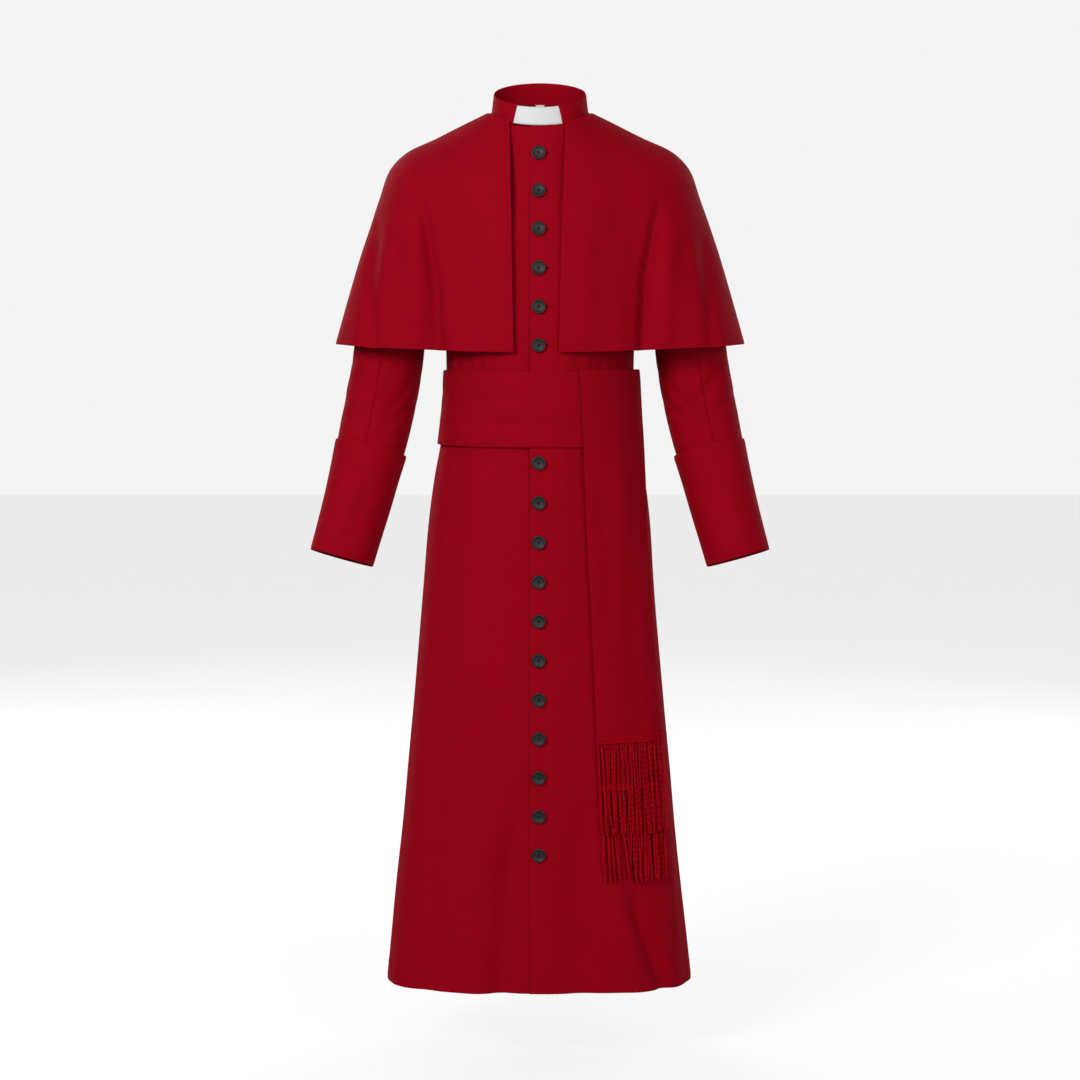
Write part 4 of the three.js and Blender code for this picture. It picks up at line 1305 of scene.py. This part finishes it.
@dataclass
class Cape:
    """The elbow-length shoulder cape: a back and two fronts, open down the centre."""

    front_steps: int = 14
    back_steps: int = 40
    hem_inset: float = 12.0
    edge_inset: float = 7.0
    grids: dict[str, Grid] = field(default_factory=dict)

    def point(self, turn: float, level: int) -> np.ndarray:
        """Return a point of the cape at a turn on one of its sections."""
        section = CAPE_SECTIONS[level]
        cosine = math.cos(math.radians(turn))
        end = section["z_front"] if cosine > 0 else section["z_back"]
        z = section["z_side"] + (end - section["z_side"]) * cosine * cosine
        point = on_section(section, turn, 2, z)
        reach = section["side"] - section["front"] if cosine > 0 else section["back"] - section["side"]
        outward = np.array([point[0] / section["half"] ** 2, (point[1] - section["side"]) / reach**2, 0])
        outward /= np.linalg.norm(outward)
        down = 1 - level / (len(CAPE_SECTIONS) - 1)
        grow = max(0.0, (down - FLUTE_START) / (1 - FLUTE_START)) ** FLUTE_GROWTH
        sink = sum(f["sink"] * math.exp(-(((turn - f["turn"]) / f["spread"]) ** 2)) for f in CAPE_FLUTES)
        return point - outward * sink * grow

    def panel(self, ends: Callable[[float, float], tuple[float, float]], steps: int) -> Grid:
        """Return a panel's coarse grid.

        Args:
            ends: The panel's two turns, from its share of the way up and the section's half width.
            steps: How many columns it has.
        """
        last = len(CAPE_SECTIONS) - 1
        return Grid(
            np.array(
                [
                    [
                        self.point(turn, level)
                        for turn in np.linspace(*ends(level / last, section["half"]), steps + 1)
                    ]
                    for level, section in enumerate(CAPE_SECTIONS)
                ]
            )
        )

    def build(self) -> None:
        """Make the three pieces of the cape."""

        def edge(side: Side, up: float, half: float) -> float:
            """Return the turn of a front edge."""
            low, high = CAPE_EDGE[side]
            return turn_of(low + (high - low) * up, half)

        self.grids["cape_front_left"] = self.panel(
            lambda up, half: (edge(Side.LEFT, up, half), CAPE_SHOULDER_TURN), self.front_steps
        )
        self.grids["cape_back"] = self.panel(
            lambda up, half: (CAPE_SHOULDER_TURN, 360 - CAPE_SHOULDER_TURN), self.back_steps
        )
        self.grids["cape_front_right"] = self.panel(
            lambda up, half: (360 - CAPE_SHOULDER_TURN, 360 - edge(Side.RIGHT, up, half)), self.front_steps
        )
        shaped = [
            sheet_of_cloth(name, grid, CAPE_CREASES, spacing=5.0)
            for name, grid in self.grids.items()
        ]
        left, back, right = shaped
        rows = [piece.line_along(Edge.BOTTOM, self.hem_inset) for piece in (left, back, right)]
        edges = [left.line_along(Edge.FIRST, self.edge_inset), right.line_along(Edge.LAST, self.edge_inset)]
        stitches_along("stitches_cape", [*rows, *edges])


# ------------------------------------------------------------------ sash, falls and fringe


@dataclass(frozen=True)
class Cord:
    """A twisted cord of two plies: their radius, their offset from the middle and its turns in a metre."""

    radius: float
    ply: float
    turns: float
    wobble: float = 0.0016
    sides: int = 6


STRAND = Cord(radius=1.2, ply=0.95, turns=60.0)
HEADING = Cord(radius=0.9, ply=0.7, turns=160.0, wobble=0.0)
BUTTON_THREAD = Cord(radius=0.45, ply=0.35, turns=300.0, wobble=0.0)
BUTTONHOLE_THREAD = Cord(radius=0.6, ply=0.5, turns=300.0, wobble=0.0)


@dataclass(frozen=True)
class Fall:
    """One hanging end of the sash and its fringe."""

    name: str
    bottom: float
    on_sash: float
    on_skirt: float
    fringe_bottom: float
    fringe_lift: float
    strands: int


@dataclass
class Sash:
    """The sash wound round the waist, its two falls, one over the other, and their fringes."""

    top: float = -402.0
    bottom: float = -519.0
    lift: float = 5.0
    lap_lift: float = 2.6
    lap: tuple[float, float, float, float] = (118.0, 146.0, 213.0, -210.0)
    fall_top: float = -399.0
    centres: tuple[float, float] = (102.0, 136.0)
    widths: tuple[float, float] = (88.0, 96.0)
    stitch_inset: float = 3.5
    rail_lift: float = 2.6
    rail_drops: tuple[float, ...] = (0.0, 2.6, 5.2, 7.8)
    falls: tuple[Fall, Fall] = (
        Fall("rear", -1052.0, 8.6, 5.6, -1207.0, 4.4, 25),
        Fall("front", -977.0, 12.2, 9.6, -1131.0, 8.6, 24),
    )

    def band(self) -> Grid:
        """Return the band's coarse grid: once round the waist and over its own start at the back."""
        start_full, full, end, start = self.lap
        turns = np.linspace(start, end, 90)
        heights = (self.bottom, -490.0, -460.0, -430.0, self.top)
        grid = Grid(np.array([[body_point(turn, z) for turn in turns] for z in heights]))
        share = np.clip((turns - start_full) / (full - start_full), 0, 1)
        share = share * share * (3 - 2 * share)
        return grid.moved(np.tile(self.lift + self.lap_lift * share, (len(heights), 1)))

    def strip(self, heights: Sequence[float], columns: int, lift: Callable[[float], float]) -> Grid:
        """Return a strip that hangs along the falls' line on the skirt.

        Args:
            heights: Its rows, from the lowest.
            columns: How many columns it has.
            lift: How far it stands off the skirt at a height.
        """
        rows = []
        for z in heights:
            down = (self.fall_top - z) / (self.fall_top - self.falls[1].bottom)
            centre = self.centres[0] + (self.centres[1] - self.centres[0]) * down
            width = self.widths[0] + (self.widths[1] - self.widths[0]) * min(1.0, down)
            half = section_at(BODY_SECTIONS, z)["half"]
            ends = [turn_of(centre + share * width, half) for share in (-0.5, 0.5)]
            rows.append([body_point(turn, z) for turn in np.linspace(*ends, columns + 1)])
        grid = Grid(np.array(rows))
        return grid.moved(np.array([[lift(z)] * (columns + 1) for z in heights]))

    def fall(self, fall: Fall) -> Grid:
        """Return a fall's coarse grid."""

        def lift(z: float) -> float:
            """Return how far the fall stands off the skirt."""
            share = min(1.0, max(0.0, (z + 640) / (self.bottom + 640)))
            return fall.on_skirt + (fall.on_sash - fall.on_skirt) * share * share * (3 - 2 * share)

        heights = [fall.bottom, *[z for z in BODY_HEIGHTS if fall.bottom + 20 < z < self.fall_top - 2]]
        return self.strip([*heights, self.fall_top], 8, lift)

    def build(self) -> None:
        """Make the band, the falls and the fringes."""
        band_creases = [
            Crease(Face.FRONT, ((-156, -436), (-90, -444), (-20, -440)), 8, 1.6, True, False),
            Crease(Face.FRONT, ((-150, -490), (-80, -482), (10, -488)), 8, 1.4, True, False),
            Crease(Face.FRONT, ((-100, -462), (-20, -466), (56, -460)), 10, -1.2, False, True),
            Crease(Face.BACK, ((150, -448), (60, -442), (-60, -450)), 8, 1.8),
            Crease(Face.BACK, ((130, -490), (20, -482), (-70, -492)), 8, 1.6),
            Crease(Face.ANY, ((156, -420), (152, -500)), 9, 1.6, True, True),
        ]
        band = sheet_of_cloth(
            "sash_band", self.band(), band_creases, spacing=5.0,
            settle=0.25,
        )
        rows = [band.line_along(edge, self.stitch_inset) for edge in (Edge.TOP, Edge.BOTTOM, Edge.LAST)]
        creases = [
            Crease(Face.ANY, ((92, -500), (104, -700), (116, -900)), 13, 1.8),
            Crease(Face.ANY, ((118, -430), (126, -560), (138, -760)), 11, -1.4),
            Crease(Face.ANY, ((132, -620), (146, -820), (156, -980)), 12, 1.8, False, True),
        ]
        for fall in self.falls:
            piece = sheet_of_cloth(
                f"sash_fall_{fall.name}", self.fall(fall), creases,
                spacing=5.0, settle=0.3,
            )
            rows += [piece.line_along(edge, self.stitch_inset) for edge in (Edge.FIRST, Edge.LAST)]
            self.fringe(fall)
        stitches_along("stitches_sash", rows)

    def fringe(self, fall: Fall) -> None:
        """Make a fall's fringe: twisted strands under a corded heading."""
        rng = np.random.default_rng(SEED + fall.strands)
        heights = np.linspace(fall.fringe_bottom, fall.bottom + 3, 17)
        surface = self.strip(list(heights), fall.strands - 1, lambda z: fall.fringe_lift)
        normals = surface.normals()
        lines = []
        share = np.linspace(0, 1, len(heights))
        for j in range(fall.strands):
            sway = rng.normal(0, 3.2) * share**1.6 + rng.normal(0, 1.5) * np.sin(share * rng.uniform(2, 9))
            layer = rng.uniform(-1.7, 1.7) * np.minimum(1, share * 6)
            line = surface.points[::-1, j] + normals[::-1, j] * layer[:, None]
            line[:, 0] += sway
            line[:, 2] += rng.uniform(0, 10) * share
            lines.append(line)
        rails = [
            surface.points[-1] + normals[-1] * self.rail_lift + np.array([0, 0, -drop])
            for drop in self.rail_drops
        ]
        name = f"fringe_{fall.name}"
        cords_along(f"{name}_strands", lines, STRAND, RED_THREAD, [name])
        cords_along(f"{name}_heading", rails, HEADING, RED_THREAD)


# ------------------------------------------------------------------ cords and stitches by Geometry Nodes


def guide_mesh(name: str, lines: Sequence[np.ndarray]) -> bpy.types.Mesh:
    """Return a mesh of loose edges along the given lines."""
    points: list[Sequence[float]] = []
    edges = []
    for line in lines:
        start = len(points)
        points.extend((np.asarray(line) * MM).tolist())
        edges.extend((start + k, start + k + 1) for k in range(len(line) - 1))
    mesh = bpy.data.meshes.new(name)
    mesh.from_pydata(points, edges, [])
    return mesh


def baked(obj: bpy.types.Object, tree: bpy.types.NodeTree, values: dict[str, object]) -> bpy.types.Object:
    """Run a Geometry Nodes tree on an object and keep the plain mesh that it makes.

    Args:
        obj: The object that carries the guides.
        tree: The tree.
        values: A value for each of its named inputs.

    Returns:
        The object, with its new mesh and no modifier.
    """
    modifier = obj.modifiers.new("Made", "NODES")
    modifier.node_group = tree
    for item in tree.interface.items_tree:
        if item.in_out == "INPUT" and item.name in values:
            modifier[item.identifier] = values[item.name]
    depsgraph = bpy.context.evaluated_depsgraph_get()
    mesh = bpy.data.meshes.new_from_object(obj.evaluated_get(depsgraph))
    obj.modifiers.clear()
    guides = obj.data
    obj.data = mesh
    bpy.data.meshes.remove(guides)
    mesh.name = obj.name
    mesh.shade_smooth()
    return obj


def geometry_tree(name: str, inputs: Sequence[tuple[str, str, object]]) -> bpy.types.NodeTree:
    """Return a new Geometry Nodes tree with a geometry input, named inputs and a geometry output."""
    tree = bpy.data.node_groups.new(name, "GeometryNodeTree")
    tree.interface.new_socket("Guides", in_out="INPUT", socket_type="NodeSocketGeometry")
    for label, kind, value in inputs:
        socket = tree.interface.new_socket(label, in_out="INPUT", socket_type=kind)
        if value is not None:
            socket.default_value = value
    tree.interface.new_socket("Made", in_out="OUTPUT", socket_type="NodeSocketGeometry")
    return tree


def cord_tree() -> bpy.types.NodeTree:
    """Return the tree that lays a twisted cord of two plies along every guide line."""
    name = "Cords"
    if name in bpy.data.node_groups:
        return bpy.data.node_groups[name]
    tree = geometry_tree(
        name,
        [
            ("Radius", "NodeSocketFloat", 0.001),
            ("Ply offset", "NodeSocketFloat", 0.0008),
            ("Twist", "NodeSocketFloat", 600.0),
            ("Spacing", "NodeSocketFloat", 0.0015),
            ("Sides", "NodeSocketInt", 6),
            ("Wobble", "NodeSocketFloat", 0.0004),
            ("Seed", "NodeSocketFloat", 0.0),
            ("Finish", "NodeSocketMaterial", None),
        ],
    )
    nodes = Nodes(tree)
    given = nodes.add("NodeGroupInput").outputs
    curves = nodes.add("GeometryNodeMeshToCurve", {"Mesh": given["Guides"]}).outputs[0]
    even = nodes.add(
        "GeometryNodeResampleCurve", {"Curve": curves, "Length": given["Spacing"]}, mode="LENGTH"
    )
    noise = nodes.add(
        "ShaderNodeTexNoise", {"W": given["Seed"], "Scale": 60.0}, noise_dimensions="4D"
    ).outputs["Color"]
    centred = nodes.add("ShaderNodeVectorMath", {0: noise, 1: (0.5, 0.5, 0.5)}, operation="SUBTRACT")
    offset = nodes.add(
        "ShaderNodeVectorMath", {0: centred.outputs[0], "Scale": given["Wobble"]}, operation="SCALE"
    )
    moved = nodes.add("GeometryNodeSetPosition", {"Geometry": even.outputs[0], "Offset": offset.outputs[0]})
    along = nodes.add("GeometryNodeSplineParameter").outputs["Length"]
    tilt = nodes.math("MULTIPLY", along, given["Twist"])
    turned = nodes.add("GeometryNodeSetCurveTilt", {"Curve": moved.outputs[0], "Tilt": tilt})
    circle = nodes.add(
        "GeometryNodeCurvePrimitiveCircle", {"Resolution": given["Sides"], "Radius": given["Radius"]}
    ).outputs[0]
    plies = nodes.add("GeometryNodeJoinGeometry")
    for sign in (1, -1):
        away = nodes.add("ShaderNodeCombineXYZ", {"X": nodes.math("MULTIPLY", given["Ply offset"], sign)})
        ply = nodes.add("GeometryNodeTransform", {"Geometry": circle, "Translation": away.outputs[0]})
        tree.links.new(ply.outputs[0], plies.inputs[0])
    tube = nodes.add(
        "GeometryNodeCurveToMesh",
        {"Curve": turned.outputs[0], "Profile Curve": plies.outputs[0], "Fill Caps": True},
    )
    real = nodes.add("GeometryNodeRealizeInstances", {0: tube.outputs[0]})
    dressed = nodes.add("GeometryNodeSetMaterial", {"Geometry": real.outputs[0], "Material": given["Finish"]})
    nodes.add("NodeGroupOutput", {0: dressed.outputs[0]})
    return tree


def stitch_tree() -> bpy.types.NodeTree:
    """Return the tree that sets short stitches along every guide line."""
    name = "Stitches"
    if name in bpy.data.node_groups:
        return bpy.data.node_groups[name]
    tree = geometry_tree(
        name,
        [
            ("Pitch", "NodeSocketFloat", 0.003),
            ("Length", "NodeSocketFloat", 0.0022),
            ("Radius", "NodeSocketFloat", 0.00028),
            ("Finish", "NodeSocketMaterial", None),
        ],
    )
    nodes = Nodes(tree)
    given = nodes.add("NodeGroupInput").outputs
    curves = nodes.add("GeometryNodeMeshToCurve", {"Mesh": given["Guides"]}).outputs[0]
    spots = nodes.add("GeometryNodeCurveToPoints", {"Curve": curves, "Length": given["Pitch"]}, mode="LENGTH")
    stitch = nodes.add(
        "GeometryNodeMeshCylinder",
        {"Vertices": 6, "Radius": given["Radius"], "Depth": given["Length"]},
    )
    placed = nodes.add(
        "GeometryNodeInstanceOnPoints",
        {
            "Points": spots.outputs["Points"],
            "Instance": stitch.outputs["Mesh"],
            "Rotation": spots.outputs["Rotation"],
        },
    )
    real = nodes.add("GeometryNodeRealizeInstances", {0: placed.outputs[0]})
    dressed = nodes.add("GeometryNodeSetMaterial", {"Geometry": real.outputs[0], "Material": given["Finish"]})
    nodes.add("NodeGroupOutput", {0: dressed.outputs[0]})
    return tree


def cloth_map(mesh: bpy.types.Mesh) -> None:
    """Give a thread's mesh a cloth map in metres from its own height and width."""
    layer = mesh.uv_layers.get("cloth") or mesh.uv_layers.new(name="cloth")
    places = np.empty(len(mesh.vertices) * 3)
    mesh.vertices.foreach_get("co", places)
    corners = np.empty(len(mesh.loops), dtype=int)
    mesh.loops.foreach_get("vertex_index", corners)
    layer.data.foreach_set("uv", places.reshape(-1, 3)[corners][:, [0, 2]].astype(np.float32).ravel())


def cords_along(
    name: str,
    lines: Sequence[np.ndarray],
    cord: Cord,
    finish: ClothFinish,
    nodes: Sequence[str] = (),
) -> bpy.types.Object:
    """Lay a twisted cord along each line.

    Args:
        name: The piece's name.
        lines: The lines, in millimetres.
        cord: The cord's make.
        finish: Its finish.
        nodes: The solids that it stands for.

    Returns:
        The piece.
    """
    obj = new_object(name, guide_mesh(name, lines))
    values = {
        "Radius": cord.radius * MM,
        "Ply offset": cord.ply * MM,
        "Twist": cord.turns * 2 * math.pi,
        "Sides": cord.sides,
        "Wobble": float(cord.wobble),
        "Seed": float(SEED),
        "Finish": finish.material(),
    }
    baked(obj, cord_tree(), values)
    cloth_map(obj.data)
    LOG.info("%s: %d cords", name, len(lines))
    return finish_piece(obj, finish, nodes)


def stitches_along(name: str, lines: Sequence[np.ndarray], pitch: float = 3.2) -> bpy.types.Object:
    """Set a row of stitches along each line.

    Args:
        name: The piece's name.
        lines: The lines, in millimetres.
        pitch: From one stitch to the next.

    Returns:
        The piece.
    """
    obj = new_object(name, guide_mesh(name, lines))
    values = {
        "Pitch": pitch * MM,
        "Length": STITCH_SHARE * pitch * MM,
        "Radius": STITCH_RADIUS * MM,
        "Finish": RED_THREAD.material(),
    }
    baked(obj, stitch_tree(), values)
    cloth_map(obj.data)
    LOG.info("%s: %d rows", name, len(lines))
    return finish_piece(obj, RED_THREAD)


# ------------------------------------------------------------------ buttons


@dataclass
class Buttons:
    """The front's buttons, with a rolled rim round a dished middle, and the buttonholes beside them."""

    body: BodyAndSkirt
    x: float = -2.0
    radius: float = 11.0
    segments: int = 28
    upper: tuple[int, float, float] = (6, -64.0, 59.4)
    lower: tuple[int, float, float] = (11, -543.0, 61.6)
    hole_reach: tuple[float, float] = (6.0, 14.5)
    roll: float = 1.4
    thread: tuple[tuple[float, float], ...] = ((-2.6, 2.6), (-1.3, 3.4), (1.3, 3.4), (2.6, 2.6))

    def profile(self) -> list[tuple[float, float]]:
        """Return half of a button's section as radius and height: a rolled rim round a dished middle."""
        roll = self.roll
        angles = np.linspace(1.9, -1.2, 9)
        rim = [(self.radius - roll + roll * math.sin(a), 3.6 + roll * math.cos(a)) for a in angles]
        dish = [(r, 3.5 - 0.7 * math.cos(r / 7.6 * math.pi / 2)) for r in (7.2, 6.0, 4.5, 3.0, 1.5, 0.0)]
        return [(0.0, 0.0), (8.5, 0.0), (10.2, 0.9), (10.8, 2.2), *rim, *dish]

    def surface(self, x: float, z: float) -> tuple[np.ndarray, np.ndarray]:
        """Return the point and normal of the left front nearest to an x and a height."""
        gap = np.abs(self.body.lap.points[..., 0] - x) + np.abs(self.body.lap.points[..., 2] - z)
        i, j = np.unravel_index(np.argmin(gap), gap.shape)
        place = self.body.lap.points[i, j].copy()
        place[0], place[2] = x, z
        return place, self.body.lap.normals()[i, j]

    def build(self) -> None:
        """Make the buttons as one piece, and the thread that holds them and the buttonholes as others."""
        points: list[Sequence[float]] = []
        faces: list[list[int]] = []
        threads: list[np.ndarray] = []
        holes: list[np.ndarray] = []
        outline = self.profile()
        rows = (self.upper, self.lower)
        heights = [first - k * pitch for count, first, pitch in rows for k in range(count)]
        for number, z in enumerate(heights):
            centre, normal = self.surface(self.x, z)
            centre = centre + normal * 0.6
            across = np.cross(normal, [0, 0, 1.0])
            across /= np.linalg.norm(across)
            upward = np.cross(across, normal)
            faces.extend(self.rings(outline, len(points)))
            for radius, height in outline:
                for k in range(self.segments if radius > 0 else 1):
                    angle = 2 * math.pi * k / self.segments
                    ring = across * math.cos(angle) + upward * math.sin(angle)
                    points.append((centre + ring * radius + normal * height) * MM)
            for turn in (0.8 + 0.13 * (number % 3), 2.3 + 0.17 * (number % 4)):
                way = across * math.cos(turn) + upward * math.sin(turn)
                threads.append(np.array([centre + way * r + normal * h for r, h in self.thread]))
            if number < self.upper[0]:
                reach = np.linspace(*self.hole_reach, 6)
                holes.append(np.array([self.surface(x, z)[0] + normal * 0.5 for x in reach]))
        mesh = bpy.data.meshes.new("buttons")
        mesh.from_pydata(points, [], faces)
        mesh.shade_smooth()
        obj = new_object("buttons_moulded", mesh)
        finish_piece(obj, BUTTON_BLACK, [f"button_{k + 1:02d}" for k in range(len(heights))])
        cords_along("button_threads", threads, BUTTON_THREAD, BLACK_THREAD)
        cords_along("buttonholes", holes, BUTTONHOLE_THREAD, DARK_THREAD)
        LOG.info("%d buttons", len(heights))

    def rings(self, outline: Sequence[tuple[float, float]], start: int) -> list[list[int]]:
        """Return the faces between a button's rings, closed at both poles and facing out."""
        faces = []
        first = start
        for (radius, _), (next_radius, _) in zip(outline, outline[1:]):
            size = self.segments if radius > 0 else 1
            following = first + size
            for k in range(self.segments):
                after = (k + 1) % self.segments
                if radius == 0:
                    faces.append([first, following + after, following + k])
                elif next_radius == 0:
                    faces.append([first + k, first + after, following])
                else:
                    faces.append([first + k, first + after, following + after, following + k])
            first = following
        return faces


# ------------------------------------------------------------------ studio


@dataclass(frozen=True)
class AreaLamp:
    """A soft square lamp that looks at the garment."""

    name: str
    place: tuple[float, float, float]
    size: float
    power: float


@dataclass
class Studio:
    """The pale floor and backdrop, the soft lamps and the camera, in metres."""

    floor_z: float = -1.5
    floor_reach: float = 14.0
    aim: tuple[float, float, float] = (0.0, 0.0, -0.672)
    eye: tuple[float, float, float] = (0.0, -4.2, -0.33)
    lens: float = 88.0
    ambient: float = 0.26
    backdrop: float = 0.9
    lamps: tuple[AreaLamp, ...] = (
        AreaLamp("Key", (-2.3, -3.5, 1.2), 1.5, 104.0),
        AreaLamp("Fill", (2.0, -3.8, 0.2), 2.2, 46.0),
        AreaLamp("Back left", (-2.2, 3.4, 1.0), 1.8, 66.0),
        AreaLamp("Back right", (2.4, 3.2, 0.6), 2.0, 46.0),
    )

    def build(self) -> None:
        """Set up the floor, the lamps, the world and the camera."""
        mesh = bpy.data.meshes.new("floor")
        signs = ((-1, -1), (1, -1), (1, 1), (-1, 1))
        corners = [(x * self.floor_reach, y * self.floor_reach, self.floor_z) for x, y in signs]
        mesh.from_pydata(corners, [], [[0, 1, 2, 3]])
        floor = new_object("floor", mesh)
        floor.data.materials.append(PALE_PAPER.material())
        for lamp in self.lamps:
            self.add_lamp(lamp)
        scene = bpy.context.scene
        world = bpy.data.worlds.new("Studio")
        scene.world = world
        world.use_nodes = True
        background = world.node_tree.nodes["Background"]
        background.inputs[0].default_value = (1, 1, 1, 1)
        nodes = Nodes(world.node_tree)
        seen = nodes.add("ShaderNodeLightPath").outputs["Is Camera Ray"]
        strength = nodes.add("ShaderNodeMapRange", {0: seen, 3: self.ambient, 4: self.backdrop}).outputs[0]
        world.node_tree.links.new(strength, background.inputs[1])
        scene.view_settings.view_transform = "Standard"
        data = bpy.data.cameras.new("Camera")
        data.lens = self.lens
        camera = bpy.data.objects.new("Camera", data)
        camera.location = self.eye
        self.look(camera)
        bpy.context.collection.objects.link(camera)
        scene.camera = camera

    def look(self, obj: bpy.types.Object) -> None:
        """Turn an object's -Z axis to the garment's middle."""
        towards = np.array(self.aim) - np.array(obj.location)
        flat = math.hypot(towards[0], towards[1])
        obj.rotation_euler = (math.atan2(flat, -towards[2]), 0, math.atan2(-towards[0], towards[1]))

    def add_lamp(self, lamp: AreaLamp) -> None:
        """Add one lamp."""
        data = bpy.data.lights.new(lamp.name, "AREA")
        data.shape = "SQUARE"
        data.size = lamp.size
        data.energy = lamp.power
        obj = bpy.data.objects.new(lamp.name, data)
        obj.location = lamp.place
        self.look(obj)
        bpy.context.collection.objects.link(obj)


def main() -> None:
    """Build the whole garment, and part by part."""
    logging.basicConfig(level=logging.INFO, format="%(message)s")
    Studio().build()
    body = BodyAndSkirt()
    body.build()
    for part in (Sleeves(body), Collar(), Cape(), Sash(), Buttons(body)):
        part.build()


if __name__ == "__main__":
    main()
